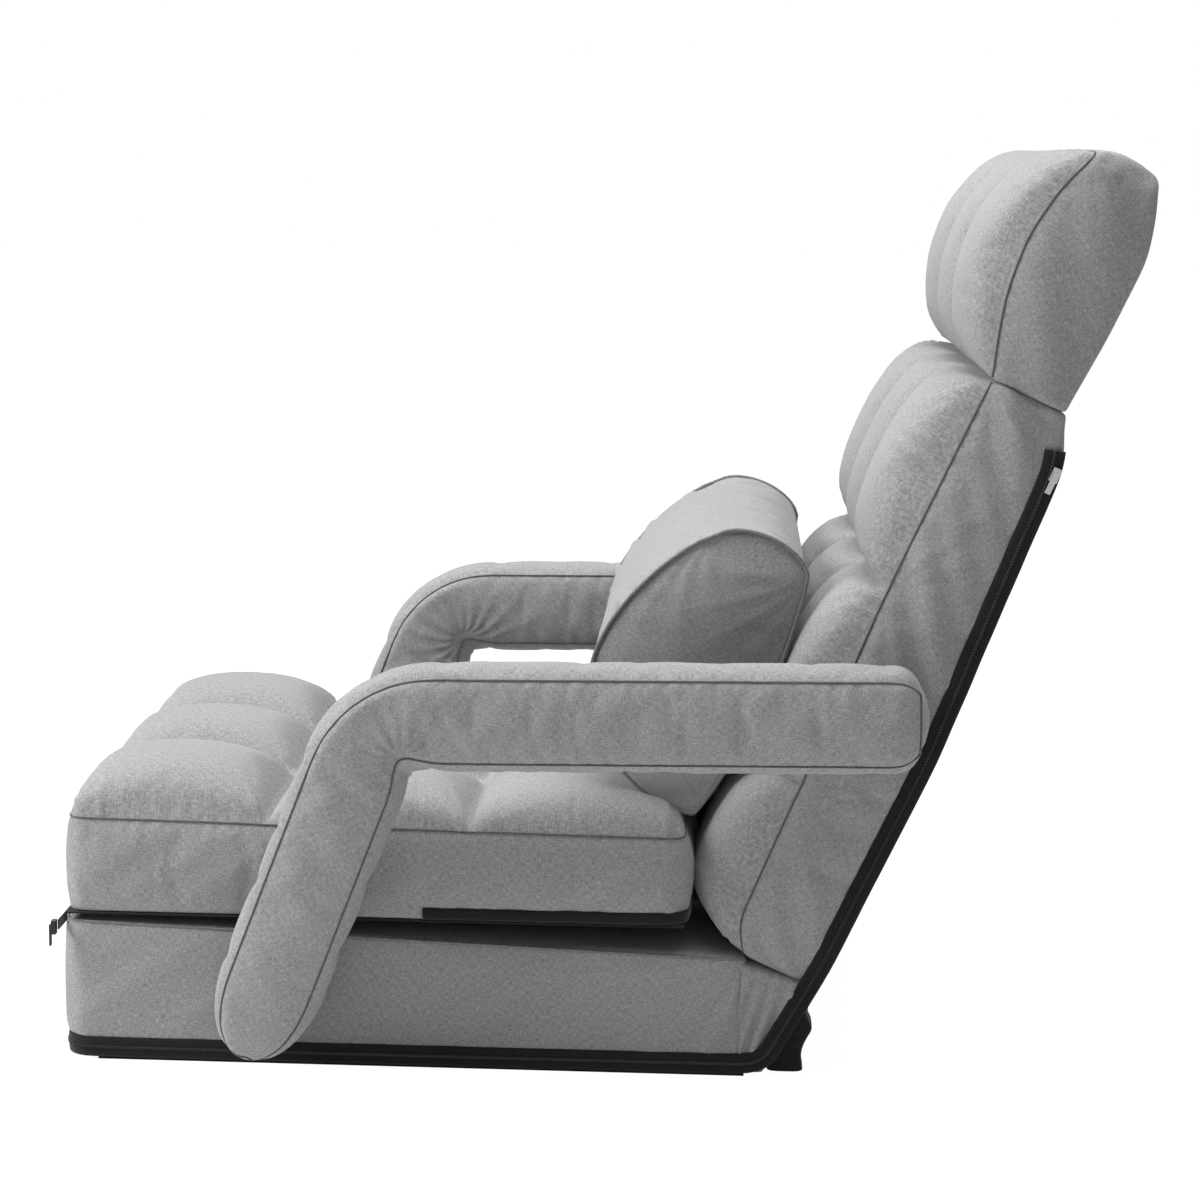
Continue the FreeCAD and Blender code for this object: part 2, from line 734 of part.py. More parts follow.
gap = size("soft_gap")
pawl_length = size("pawl_length")
keep_shape(
    pawl_blocks(pivot, size("gear_radius"), size("pawl_angle"), gap, pawl_length, size("pawl_height")),
    "recline_pawls",
)
keep_shape(
    pawl_blocks(
        pivot,
        size("gear_radius"),
        size("pawl_angle"),
        pawl_length + 2 * gap,
        size("spring_wire"),
        size("spring_length"),
    ),
    "recline_pawl_springs",
)
keep_shape(
    pawl_blocks(
        neck_axis,
        size("head_gear_radius"),
        size("neck_pawl_angle"),
        gap,
        size("neck_pawl_length"),
        size("pawl_height"),
    ),
    "neck_pawls",
    back_frame,
)


# Arm bolts stand out of the side tubes, and their nuts hold the arms' flat bars
def arm_bolts(centre, bar_side, frame, bolt_label, nut_label):
    bolts = []
    nuts = []
    for sign in sides.values():
        start = Vector(sign * (size("rail_offset") + tube_radius), centre.y, centre.z)
        bar_far = bar_side + size("bar_thickness")
        nut_start = bar_far + size("soft_gap")
        end = Vector(sign * (nut_start + size("nut_height")), centre.y, centre.z)
        bolts.append(rod(start, end, "Sizes.pin_radius", frame))
        nut = doc.addObject("Part::Prism", "Nut")
        nut.Polygon = 6
        bind(nut, Circumradius="Sizes.nut_size", Height="Sizes.nut_height")
        turn = Rotation(Vector(0, 0, 1), Vector(sign, 0, 0))
        nut_place = Vector(sign * nut_start, centre.y, centre.z)
        nut.Placement = frame.multiply(Placement(nut_place, turn))
        bore = rod(
            nut_place, nut_place + Vector(sign * size("nut_height"), 0, 0),
            "Sizes.pin_radius", frame,
        )
        nuts.append(cut(nut, [bore]))
    name_it(group(bolts), bolt_label)
    name_it(group(nuts), nut_label)


arm_bolts(foot_pivot, lower_bar_side, world, "arm_foot_bolts", "arm_foot_nuts")
arm_bolts(arm_hinge, upper_bar_side, back_frame, "arm_back_bolts", "arm_back_nuts")


# Arms: a flat steel bar, foam and a cover each, hinged at the elbow. In an arm's
# own frame +Z runs along the bar and +Y is the elbow's inner side.
arm_half = size("arm_height") / 2
arm_length = arm_reach.Length
upper_length = upper_arm_vector.Length
elbow_in_lower = Vector(0, 0, arm_length)


def flat_bar(label, length, start_gap, end_gap, low_x, frame):
    """A flat bar with rounded ends and a hole at each end, as a sketched body."""
    body = doc.addObject("PartDesign::Body", label)
    plane = next(f for f in body.Origin.OriginFeatures if f.Role == "YZ_Plane")
    outline = body.newObject("Sketcher::SketchObject", label + "_outline")
    outline.AttachmentSupport = [(plane, "")]
    outline.MapMode = "FlatFace"
    half = size("bar_width") / 2
    up = Vector(0, 0, 1)
    foot, top = Vector(0, 0, 0), Vector(0, length, 0)
    across = Vector(half, 0, 0)
    outline.addGeometry(
        [
            Part.LineSegment(foot + across, top + across),
            Part.ArcOfCircle(Part.Circle(top, up, half), 0, math.pi),
            Part.LineSegment(top - across, foot - across),
            Part.ArcOfCircle(Part.Circle(foot, up, half), math.pi, 2 * math.pi),
            Part.Circle(foot, up, size("pin_radius")),
            Part.Circle(top, up, size("pin_radius")),
        ],
        False,
    )
    ties = [
        ("Coincident", 0, 2, 1, 1),
        ("Coincident", 1, 2, 2, 1),
        ("Coincident", 2, 2, 3, 1),
        ("Coincident", 3, 2, 0, 1),
        ("Coincident", 4, 3, -1, 1),
        ("Coincident", 3, 3, 4, 3),
        ("Coincident", 5, 3, 1, 3),
        ("Vertical", 0),
        ("Vertical", 2),
    ]
    for tie in ties:
        outline.addConstraint(Sketcher.Constraint(*tie))
    sizes = [
        (("DistanceY", 4, 3, 5, 3, length), None),
        (("Radius", 3, half), "Sizes.bar_width / 2"),
        (("Radius", 4, size("pin_radius")), "Sizes.pin_radius + Sizes." + start_gap),
        (("Radius", 5, size("pin_radius")), "Sizes.pin_radius + Sizes." + end_gap),
    ]
    for values, formula in sizes:
        index = outline.addConstraint(Sketcher.Constraint(*values))
        if formula:
            outline.setExpression(f"Constraints[{index}]", formula)
    plate = body.newObject("PartDesign::Pad", label + "_plate")
    plate.Profile = outline
    plate.setExpression("Length", "Sizes.bar_thickness")
    body.Placement = frame.multiply(Placement(Vector(low_x, 0, 0), Rotation()))
    return name_it(body, label)


def rounded_arm(inner_x, start, end, shrink):
    """A padded arm's outer form: a long round-ended block with rounded edges."""
    radius = arm_half - shrink
    low, high = inner_x + shrink, inner_x + size("arm_width") - shrink
    base = [Vector(low, 0, start), Vector(low, 0, end)]
    side_step = Vector(0, radius, 0)
    edges = [
        Part.LineSegment(base[0] + side_step, base[1] + side_step).toShape(),
        Part.Arc(
            base[1] + side_step, base[1] + Vector(0, 0, radius), base[1] - side_step
        ).toShape(),
        Part.LineSegment(base[1] - side_step, base[0] - side_step).toShape(),
        Part.Arc(
            base[0] - side_step, base[0] - Vector(0, 0, radius), base[0] + side_step
        ).toShape(),
    ]
    solid = Part.Face(Part.Wire(edges)).extrude(Vector(high - low, 0, 0))
    rims = [e for e in solid.Edges if e.BoundBox.XLength < size("soft_gap")]
    return solid.makeFillet(min(size("arm_round") - shrink, radius / 2), rims)


def across_rod(centre, radius, low_x, high_x):
    return Part.makeCylinder(
        radius, high_x - low_x, Vector(low_x, centre.y, centre.z), Vector(1, 0, 0)
    )


def mirrored(shape):
    return shape.mirror(Vector(), Vector(1, 0, 0))


bar_room = size("bar_width") / 2 + gap
bolt_room = size("pin_radius") + size("bolt_clear")
nut_room = size("nut_size") + size("bolt_clear")
arm_outer = arm_inner + size("arm_width")
rivet_cap = size("pin_head")
rivet_low = lower_bar_side - rivet_cap
rivet_high = upper_bar_side + size("bar_thickness") + rivet_cap
rivet_room = size("pin_head_radius") + gap
upper_end = upper_length + size("arm_end_length") - arm_half
lower_start_point = arm_half - size("foot_end_length")


def upper_arm_tools():
    """What is cut from the upper arm's pad: its bar, the lower bar, bolts and rivet."""
    bar_low, bar_high = upper_bar_side - gap, upper_bar_side + size("bar_thickness") + gap
    end = Vector(0, 0, upper_length)
    far = upper_length + bar_room
    return [
        box_shape(Vector(bar_low, -bar_room, -bar_room), Vector(bar_high, bar_room, far)),
        across_rod(
            Vector(),
            arm_half + size("bar_swing_clear"),
            lower_bar_side - gap,
            lower_bar_side + size("bar_thickness") + gap,
        ),
        across_rod(Vector(), rivet_room, rivet_low - gap, rivet_high + gap),
        across_rod(end, bolt_room, arm_inner - 1, upper_bar_side),
        across_rod(end, nut_room, bar_high - gap, bar_high + size("nut_height") + 2 * gap),
    ]


def lower_arm_tools():
    """What is cut from the lower arm's pad, with the elbow's socket and its relief."""
    bar_low, bar_high = lower_bar_side - gap, lower_bar_side + size("bar_thickness") + gap
    reach = arm_half + size("elbow_gap")
    socket = across_rod(elbow_in_lower, reach, arm_inner - 1, arm_outer + 1)
    relief = box_shape(
        Vector(arm_inner - 1, -reach, 0), Vector(arm_outer + 1, reach, 3 * reach)
    )
    fold = lower_arm_lean + upper_arm_rise - 90 - size("upright_turn")
    relief.Placement = Placement(elbow_in_lower, Rotation(Vector(1, 0, 0), fold))
    far = arm_length + bar_room
    return [
        box_shape(Vector(bar_low, -bar_room, -bar_room), Vector(bar_high, bar_room, far)),
        socket,
        relief,
        across_rod(Vector(), bolt_room, arm_inner - 1, lower_bar_side),
        across_rod(Vector(), nut_room, bar_high - gap, bar_high + size("nut_height") + 2 * gap),
    ]


def arm_pad(name, side, start, end, tools, frame):
    """The cover and the foam of one arm section."""
    outer = rounded_arm(arm_inner, start, end, 0.0)
    inner = rounded_arm(arm_inner, start, end, size("cloth"))
    filling = rounded_arm(arm_inner, start, end, size("cloth") + gap)
    shell = outer.cut(inner)
    for tool in tools:
        shell = shell.cut(tool)
        filling = filling.cut(tool)
    for shape, kind in ((shell, "cover"), (filling, "foam")):
        part_shape = shape if side == "left" else mirrored(shape)
        keep_shape(part_shape, f"{name}_{kind}_{side}", frame)


for side, sign in sides.items():
    upper_x = upper_bar_side if sign > 0 else -upper_bar_side - size("bar_thickness")
    lower_x = lower_bar_side if sign > 0 else -lower_bar_side - size("bar_thickness")
    flat_bar(
        f"upper_arm_bar_{side}", upper_length, "running_gap", "open_gap", upper_x,
        upper_arm_frame,
    )
    flat_bar(
        f"lower_arm_bar_{side}", arm_length, "running_gap", "soft_gap", lower_x,
        lower_arm_frame,
    )
    arm_pad("upper_arm", side, 0.0, upper_end, upper_arm_tools(), upper_arm_frame)
    arm_pad(
        "lower_arm", side, lower_start_point, arm_length, lower_arm_tools(), lower_arm_frame
    )
    caps = [
        (rivet_low, lower_bar_side, "pin_head_radius"),
        (lower_bar_side, rivet_high - rivet_cap, "pin_radius"),
        (rivet_high - rivet_cap, rivet_high, "pin_head_radius"),
    ]
    lengths = [
        rod(
            elbow_in_lower + Vector(sign * low, 0, 0),
            elbow_in_lower + Vector(sign * high, 0, 0),
            f"Sizes.{radius}",
            lower_arm_frame,
        )
        for low, high, radius in caps
    ]
    name_it(fuse(lengths), f"elbow_rivet_{side}")
doc.recompute()

# Seat base: cover open at the foot, foam in it, lining under it
lining = size("underside_thickness")
foot_level = lining + gap
front_seam = base_front + size("base_front_crown")
rear_seam = base_rear - size("base_rear_crown")
base_corners = [
    (front_seam + size("base_corner"), foot_level),
    (rear_seam, foot_level),
    (rear_seam, size("base_height") - size("base_rear_drop")),
    (front_seam, size("base_height")),
    (front_seam, foot_level + size("base_corner")),
]
corner_crown = size("base_corner") * (math.sqrt(2) - 1) / math.sqrt(2)
# the top seam falls to the rear, and this crown tops out base_crown above its front
seam_drop = size("base_rear_drop")
lifted = seam_drop + 2 * size("base_crown")
top_crown = (lifted + math.sqrt(lifted**2 - seam_drop**2)) / 4
base_crowns = [
    0,
    size("base_rear_crown"),
    top_crown,
    size("base_front_crown"),
    corner_crown,
]
below_floor = -size("band_height")
hinge_top = pivot.z + size("gear_radius") + size("cheek_rim") + size("pin_clear")
tube_front = pivot.y - size("frame_depth") - tube_radius - size("pin_clear")
far_back = base_rear + 3 * size("gear_radius")
base_windows = bolt_hole(foot_pivot, gap)
base_windows += hinge_window(rail_end, far_back, below_floor, hinge_top)
base_windows += hinge_window(tube_front, far_back, below_floor, 2 * size("base_height"))
for sign in sides.values():
    across = sign * size("rail_offset")
    start = Vector(across, front_bar_place - tube_radius, rail_height)
    end = Vector(across, rail_end, rail_height)
    base_windows.append(tube_slot(start, end, gap, below_floor))
for along in bar_places:
    ends = [Vector(s * size("rail_offset"), along, rail_height) for s in (-1, 1)]
    base_windows.append(tube_slot(ends[0], ends[1], gap, below_floor))
base_stations = plain_stations(
    size("cushion_width"), size("edge_share"), size("base_shoulder_share")
)
base_cover, base_foam = cover_and_foam(
    base_stations, base_corners, base_crowns, base_windows, opened=(0,), steady=(4,)
)
keep_shape(base_cover, "base_cover")
keep_shape(base_foam, "base_foam")
draw = size("side_draw")
name_it(
    block(
        Vector(-half_width + draw, front_seam + size("base_corner"), 0),
        Vector(half_width - draw, rear_seam, lining),
        Height="Sizes.underside_thickness",
        Length="Sizes.cushion_width - 2 * Sizes.side_draw",
    ),
    "base_underside",
)


def side_strips(low_y, high_y, low_z, high_z, frame, label):
    """A zip band sewn along the side seam on each side of the chair."""
    strips = []
    for sign in sides.values():
        near = half_width + gap
        low_x = near if sign > 0 else -near - size("band_thickness")
        strips.append(
            block(
                Vector(low_x, low_y, low_z),
                Vector(low_x + size("band_thickness"), high_y, high_z),
                frame,
                Length="Sizes.band_thickness",
            )
        )
    return name_it(group(strips), label)


side_strips(
    front_seam + size("base_corner"),
    rear_seam,
    foot_level,
    size("band_height"),
    world,
    "base_zip_bands",
)

# Flip-out seat pad: nine tufts, plain underside, zip band at its lower edge
front_top = pad_front + size("pad_front_crown")
rear_top = pad_rear - size("pad_rear_crown")
row_ends = [front_top + size("front_row")]
row_ends.append(row_ends[0] + size("middle_row"))
fall = (size("pad_side_height") - size("pad_rear_height")) / (rear_top - front_top)
pad_corners = [
    (front_top, pad_bottom),
    (rear_top, pad_bottom),
    (rear_top, pad_bottom + size("pad_rear_height")),
]
for along in (row_ends[1], row_ends[0], front_top):
    seam_height = size("pad_side_height") - fall * (along - front_top)
    pad_corners.append((along, pad_bottom + seam_height))
pad_crowns = [
    0,
    size("pad_rear_crown"),
    size("rear_row_crown"),
    size("middle_row_crown"),
    size("front_row_crown"),
    size("pad_front_crown"),
]
tufts = lobe_stations(size("cushion_width"), 3)
pad_cover, pad_foam = cover_and_foam(tufts, pad_corners, pad_crowns, opened=(0,))
keep_shape(pad_cover, "seat_pad_cover")
keep_shape(pad_foam, "seat_pad_foam")
name_it(
    block(
        Vector(-half_width + draw, front_top, pad_underside),
        Vector(half_width - draw, rear_top, pad_underside + size("pad_sheet")),
        Length="Sizes.cushion_width - 2 * Sizes.side_draw",
        Height="Sizes.pad_sheet",
    ),
    "seat_pad_underside",
)
side_strips(
    rear_top - size("pad_band_length"),
    rear_top,
    pad_bottom,
    pad_bottom + size("pad_band_height"),
    world,
    "seat_pad_zip_bands",
)

# Back: the lowest row is its own cushion, lumbar and upper rows share one cover
lower_corners = [
    (size("back_rear"), size("lower_start")),
    (size("back_rear"), lower_top),
    (-size("seam_depth"), lower_top),
    (-size("lower_seam_depth"), size("lower_start")),
]
lower_crowns = [0, 0, size("lower_crown"), 0]


def back_slots(low, high, bar_levels):
    """Channels in the back's foam for the side tubes and cross bars."""
    slots = []
    for sign in sides.values():
        across = sign * size("rail_offset")
        slots.append(
            tube_slot(Vector(across, tube_line, low), Vector(across, tube_line, high), gap)
        )
    for level in bar_levels:
        ends = [Vector(s * size("rail_offset"), tube_line, level) for s in (-1, 1)]
        slots.append(tube_slot(ends[0], ends[1], gap))
    return slots


lower_windows = back_slots(size("lower_start"), lower_top, [size("lower_bar_place")])
lower_cover, lower_foam = cover_and_foam(
    tufts, lower_corners, lower_crowns, lower_windows, opened=(1,)
)
keep_shape(lower_cover, "back_lower_cover", back_frame)
keep_shape(lower_foam, "back_lower_foam", back_frame)

seam = -size("seam_depth")
main_start = lower_top + gap
main_end = neck - gap / 2
main_corners = [
    (size("back_rear"), main_start),
    (size("back_rear"), main_end - size("neck_taper")),
    (size("neck_rear"), main_end),
    (seam, main_end),
    (seam, lumbar_top),
    (seam, main_start),
]
main_crowns = [0, 0, 0, size("back_crown"), size("back_crown"), 0]
neck_reach = size("head_gear_radius") + size("neck_rim") + size("pin_clear")
neck_low, neck_high = tube_line - neck_reach, tube_line + neck_reach


def neck_wedge(way):
    """The fold relief in front of the neck axis, above it or below it."""
    slope = math.tan(math.radians(size("neck_angle")))
    start = tube_line
    reach = 2 * (size("seam_depth") + size("back_crown"))
    level = neck + way * gap / 2
    points = [
        Vector(-half_width - 1, start, level),
        Vector(-half_width - 1, start - reach, level),
        Vector(-half_width - 1, start - reach, level + way * reach * slope),
    ]
    face = Part.Face(Part.makePolygon(points + points[:1]))
    return face.extrude(Vector(size("cushion_width") + 2, 0, 0))


main_windows = back_slots(lower_top, back_tube_end, [size("upper_bar_place")])
main_windows += bolt_hole(arm_hinge, gap)
housing_low = back_tube_end - size("pin_clear")
main_windows += hinge_window(neck_low, neck_high, housing_low, neck + neck_reach)
main_cover, main_foam = cover_and_foam(
    tufts, main_corners, main_crowns, main_windows + [neck_wedge(-1)], opened=(2, 5)
)
keep_shape(main_cover, "back_cover", back_frame)
reach = size("cushion_width")
above_split = box_shape(
    Vector(-reach, -reach, lumbar_top + gap / 2), Vector(reach, reach, head_top)
)
below_split = box_shape(Vector(-reach, -reach, 0), Vector(reach, reach, lumbar_top - gap / 2))
keep_shape(main_foam.common(below_split), "back_lumbar_foam", back_frame)
keep_shape(main_foam.common(above_split), "back_upper_foam", back_frame)
name_it(
    block(
        Vector(-half_width + draw, size("back_rear") + gap, size("lower_start")),
        Vector(
            half_width - draw,
            size("back_rear") + gap + size("rear_panel"),
            main_end - size("neck_taper"),
        ),
        back_frame,
        Length="Sizes.cushion_width - 2 * Sizes.side_draw",
        Width="Sizes.rear_panel",
    ),
    "back_rear_panel",
)
band_front = size("band_front")
side_strips(
    band_front,
    band_front + size("band_width"),
    size("lower_start"),
    size("band_top"),
    back_frame,
    "back_zip_bands",
)

# Head cushion, and the soft fold that fills the neck's relief
head_start = neck + gap / 2
head_corners = [
    (size("neck_rear"), head_start),
    (size("head_rear"), head_top),
    (-size("head_top_depth"), head_top),
    (seam, head_start),
]
head_crowns = [0, size("head_top_crown"), size("head_crown"), 0]
head_slots = back_slots(head_start, head_tube_end + gap, [head_bar_place])
head_slots += hinge_window(neck_low, neck_high, neck - neck_reach, neck + neck_reach)
head_cover, head_foam = cover_and_foam(
    tufts, head_corners, head_crowns, head_slots + [neck_wedge(1)], opened=(3,)
)
keep_shape(head_cover, "head_cover", back_frame)
keep_shape(head_foam, "head_foam", back_frame)
wedge_angle = math.radians(size("neck_angle"))
fold_half = (size("seam_depth") - size("frame_depth")) * math.tan(wedge_angle)
fold_half -= gap / math.cos(wedge_angle)
neck_fold_corners = [
    (tube_line - gap / math.sin(wedge_angle), neck),
    (seam, neck + fold_half),
    (seam + size("neck_crease"), neck),
    (seam, neck - fold_half),
]
neck_fold_crowns = [0, size("neck_fold_crown"), size("neck_fold_crown"), 0]
neck_fold = cushion(tufts, neck_fold_corners, neck_fold_crowns, 0.0, (0, 3))
for window in hinge_window(neck_low, neck_high, neck - neck_reach, neck + neck_reach):
    neck_fold = neck_fold.cut(window)
keep_shape(neck_fold, "neck_fold", back_frame)

# Waist fold: the soft gusset that joins base and back over the recline hinges
lower_end = size("lower_start") - gap
fold_front = base_rear + gap
lean = math.radians(size("back_lean"))
fold_depth = (fold_front - pivot.y - lower_end * math.sin(lean)) / math.cos(lean)
fold_top = back_frame.multVec(Vector(0, fold_depth, lower_end))
fold_back = back_frame.multVec(Vector(0, size("back_rear") - draw, lower_end))
waist_corners = [
    (fold_front, foot_level + gap),
    (fold_front + size("waist_fold_foot"), foot_level + gap),
    (fold_back.y, fold_back.z),
    (fold_top.y, fold_top.z),
]
waist_crowns = [0, size("waist_fold_crown"), 0, 0]
waist_stations = plain_stations(size("cushion_width"), size("waist_fold_edge_share"), 1.0)
waist = cushion(waist_stations, waist_corners, waist_crowns, 0.0, (0, 1, 2, 3), (1,))
cheek_low = pivot.z - size("gear_radius") - size("cheek_rim") - size("pin_clear")
for window in hinge_window(base_rear - draw, far_back, cheek_low, 2 * size("base_height")):
    waist = waist.cut(window)
keep_shape(waist, "waist_fold")

# Lumbar pillow, loose against the lumbar row
pillow_back = -(size("seam_depth") + size("back_crown") + size("pillow_standoff"))
pillow_base = size("pillow_start")
pillow_corners = [
    (pillow_back, pillow_base),
    (pillow_back, pillow_base + size("pillow_height")),
    (
        pillow_back - size("pillow_depth"),
        pillow_base + size("pillow_height") * size("pillow_top_share"),
    ),
]


def arc_rise(chord, crown, share):
    """Height of a shallow arc above its chord, at a share of the way along it."""
    radius = (chord**2 / 4 + crown**2) / (2 * crown)
    from_middle = (share - 0.5) * chord
    return math.sqrt(radius**2 - from_middle**2) - (radius - crown)


def pillow_rear_crown():
    """The crown at which the pillow's flat side just rests on the lumbar row."""
    places = 60
    limits = []
    for place in range(1, places):
        share = place / places
        level = pillow_base + share * size("pillow_height")
        if lower_top < level < lumbar_top:
            along = (level - lower_top) / size("lumbar_row")
            row_rise = arc_rise(size("lumbar_row"), size("back_crown"), along)
            room = -pillow_back - size("seam_depth") - row_rise - size("pillow_gap")
            limits.append(room / (4 * share * (1 - share)))
    return min(limits)


pillow_crowns = [
    pillow_rear_crown(),
    size("pillow_top_crown"),
    size("pillow_front_crown"),
]
pillow_stations = plain_stations(
    size("pillow_length"), size("pillow_edge_share"), size("pillow_shoulder_share")
)
pillow_cover, pillow_filling = cover_and_foam(pillow_stations, pillow_corners, pillow_crowns)
keep_shape(pillow_cover, "pillow_cover", back_frame)
keep_shape(pillow_filling, "pillow_filling", back_frame)

# Zips: the front tape joins the pad to the base, and each zip has slider and pull
tape_rear = base_front + size("tape_setback")
tape_front = tape_rear - size("zip_thickness")
tape_top = size("base_height")
name_it(
    block(
        Vector(-half_width, tape_front, tape_top - size("zip_height")),
        Vector(half_width, tape_rear, tape_top),
        Length="Sizes.cushion_width",
        Width="Sizes.zip_thickness",
        Height="Sizes.zip_height",
    ),
    "front_zip_tape",
)
slider_top = tape_top + 1
slider_low_x = half_width + gap
name_it(
    block(
        Vector(slider_low_x, tape_front - gap - size("slider_depth"), slider_top - size("slider_height")),
        Vector(slider_low_x + size("slider_width"), tape_front - gap, slider_top),
        Length="Sizes.slider_width",
        Width="Sizes.slider_depth",
        Height="Sizes.slider_height",
    ),
    "front_zip_slider",
)
pull_half = size("slider_width") / 3
pull_rear = tape_front - gap - size("slider_depth") - 2 * gap
pull_middle = slider_low_x + size("slider_width") / 2
pull_top = slider_top - size("slider_height") / 3
name_it(
    block(
        Vector(pull_middle - pull_half, pull_rear - size("pull_thickness"), pull_top - size("pull_length")),
        Vector(pull_middle + pull_half, pull_rear, pull_top),
        Width="Sizes.pull_thickness",
        Height="Sizes.pull_length",
    ),
    "front_zip_pull",
)
band_middle = band_front + size("band_width") / 2
back_slider_low = half_width + gap + size("band_thickness") + gap
name_it(
    block(
        Vector(
            back_slider_low,
            band_middle - size("slider_width") / 2,
            size("band_top") - size("slider_height"),
        ),
        Vector(
            back_slider_low + size("slider_depth"),
            band_middle + size("slider_width") / 2,
            size("band_top"),
        ),
        back_frame,
        Length="Sizes.slider_depth",
        Width="Sizes.slider_width",
        Height="Sizes.slider_height",
    ),
    "back_zip_slider",
)
back_pull_low = back_slider_low + size("slider_depth") + 2 * gap
back_pull_top = size("band_top") - size("slider_height") / 3
name_it(
    block(
        Vector(back_pull_low, band_middle - pull_half, back_pull_top - size("pull_length")),
        Vector(back_pull_low + size("pull_thickness"), band_middle + pull_half, back_pull_top),
        back_frame,
        Length="Sizes.pull_thickness",
        Height="Sizes.pull_length",
    ),
    "back_zip_pull",
)

doc.recompute()
troubles = []
for item in doc.Objects:
    if {"Invalid", "Error"} & set(item.State):
        troubles.append(f"{item.Label}: {item.State}")
for piece in kept:
    if piece.Shape.isNull() or not piece.Shape.isValid():
        troubles.append(f"{piece.Label}: its shape is null or not valid")
if troubles:
    raise RuntimeError("; ".join(troubles))
os.makedirs("parts", exist_ok=True)
for piece in kept:
    piece.Shape.exportStep(f"parts/{piece.Label}.step")
    box = piece.Shape.BoundBox
    print(
        f"{piece.Label:24s} solids {len(piece.Shape.Solids)}"
        f" volume {piece.Shape.Volume / 1000:9.1f} cm3"
        f" x {box.XMin:.1f} {box.XMax:.1f} y {box.YMin:.1f} {box.YMax:.1f}"
        f" z {box.ZMin:.1f} {box.ZMax:.1f}"
    )
print(len(kept), "sub-parts")
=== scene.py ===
import json
import math

import bmesh
import bpy
import numpy as np
from mathutils import Matrix, Vector
from mathutils.bvhtree import BVHTree


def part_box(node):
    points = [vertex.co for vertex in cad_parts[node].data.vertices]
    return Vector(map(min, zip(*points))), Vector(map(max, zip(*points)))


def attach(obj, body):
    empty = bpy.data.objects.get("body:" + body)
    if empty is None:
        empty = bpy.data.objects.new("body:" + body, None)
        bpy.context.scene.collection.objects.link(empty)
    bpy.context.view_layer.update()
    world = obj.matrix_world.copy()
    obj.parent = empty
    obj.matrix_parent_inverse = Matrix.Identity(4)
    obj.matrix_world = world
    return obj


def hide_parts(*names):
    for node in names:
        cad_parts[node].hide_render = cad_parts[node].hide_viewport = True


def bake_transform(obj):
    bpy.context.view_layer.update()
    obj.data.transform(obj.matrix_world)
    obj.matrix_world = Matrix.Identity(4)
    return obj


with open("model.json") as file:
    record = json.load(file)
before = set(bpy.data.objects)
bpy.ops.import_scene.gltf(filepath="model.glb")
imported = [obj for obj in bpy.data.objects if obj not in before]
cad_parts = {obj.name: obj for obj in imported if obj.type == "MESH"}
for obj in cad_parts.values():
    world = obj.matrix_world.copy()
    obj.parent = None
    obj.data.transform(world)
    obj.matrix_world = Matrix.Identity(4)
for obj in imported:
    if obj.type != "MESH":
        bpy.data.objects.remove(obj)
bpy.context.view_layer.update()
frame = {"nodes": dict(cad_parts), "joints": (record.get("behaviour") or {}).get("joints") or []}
joints = {joint["name"]: joint for joint in frame["joints"]}
print("frame loaded")

mm = 0.001
recline = joints["back_recline"]
pivotY, pivotZ = recline["pos_m"][1:]
lean = math.radians(-recline["range_deg"][0])
leanSin, leanCos = math.sin(lean), math.cos(lean)
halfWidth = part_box("base_cover")[1].x
sideNames = {"left": 1, "right": -1}


def onBack(x, v, s):
    # v runs to the rear and s up the back, both from the recline axis
    x, v, s = np.broadcast_arrays(x, v, s)
    y = pivotY + v * leanCos + s * leanSin
    z = pivotZ - v * leanSin + s * leanCos
    return np.stack([x, y, z], axis=-1)


def onFloor(x, y, z):
    return np.stack(np.broadcast_arrays(x, y, z), axis=-1)


def plug(tree, slot, value):
    # links a wire to the socket, or sets a constant on it
    if isinstance(value, Wire):
        tree.links.new(value.socket, slot)
    else:
        slot.default_value = value


class Wire:
    # a socket that can stand in a Python expression
    def __init__(self, tree, socket):
        self.tree = tree
        self.socket = socket

    def calc(self, operation, *values):
        node = self.tree.nodes.new("ShaderNodeMath")
        node.operation = operation
        for slot, value in zip(node.inputs, values):
            plug(self.tree, slot, value)
        return Wire(self.tree, node.outputs[0])

    def __add__(self, other):
        return self.calc("ADD", self, other)

    def __sub__(self, other):
        return self.calc("SUBTRACT", self, other)

    def __rsub__(self, other):
        return self.calc("SUBTRACT", other, self)

    def __mul__(self, other):
        return self.calc("MULTIPLY", self, other)

    __radd__ = __add__
    __rmul__ = __mul__


class Finish:
    # one material: its tree, its main shader and ways to add nodes
    def __init__(self, name, **constants):
        self.material = bpy.data.materials.new(name)
        self.material.use_nodes = True
        self.tree = self.material.node_tree
        self.shader = self.tree.nodes["Principled BSDF"]
        self.set(**constants)

    def set(self, **constants):
        for label, value in constants.items():
            self.shader.inputs[label.replace("_", " ")].default_value = value

    def add(self, kind, settings=None, output=0, **inputs):
        node = self.tree.nodes.new(kind)
        for label, value in (settings or {}).items():
            setattr(node, label, value)
        for label, value in inputs.items():
            plug(self.tree, node.inputs[label.replace("_", " ")], value)
        return Wire(self.tree, node.outputs[output])

    def feed(self, label, wire):
        self.tree.links.new(wire.socket, self.shader.inputs[label])

    def mixColour(self, share, first, second):
        node = self.tree.nodes.new("ShaderNodeMix")
        node.data_type = "RGBA"
        for slot, value in ((0, share), (6, first), (7, second)):
            plug(self.tree, node.inputs[slot], value)
        return Wire(self.tree, node.outputs[2])


def grey(level, warmth=0.0):
    return (level * (1 + warmth), level, level * (1 - warmth * 0.4), 1.0)


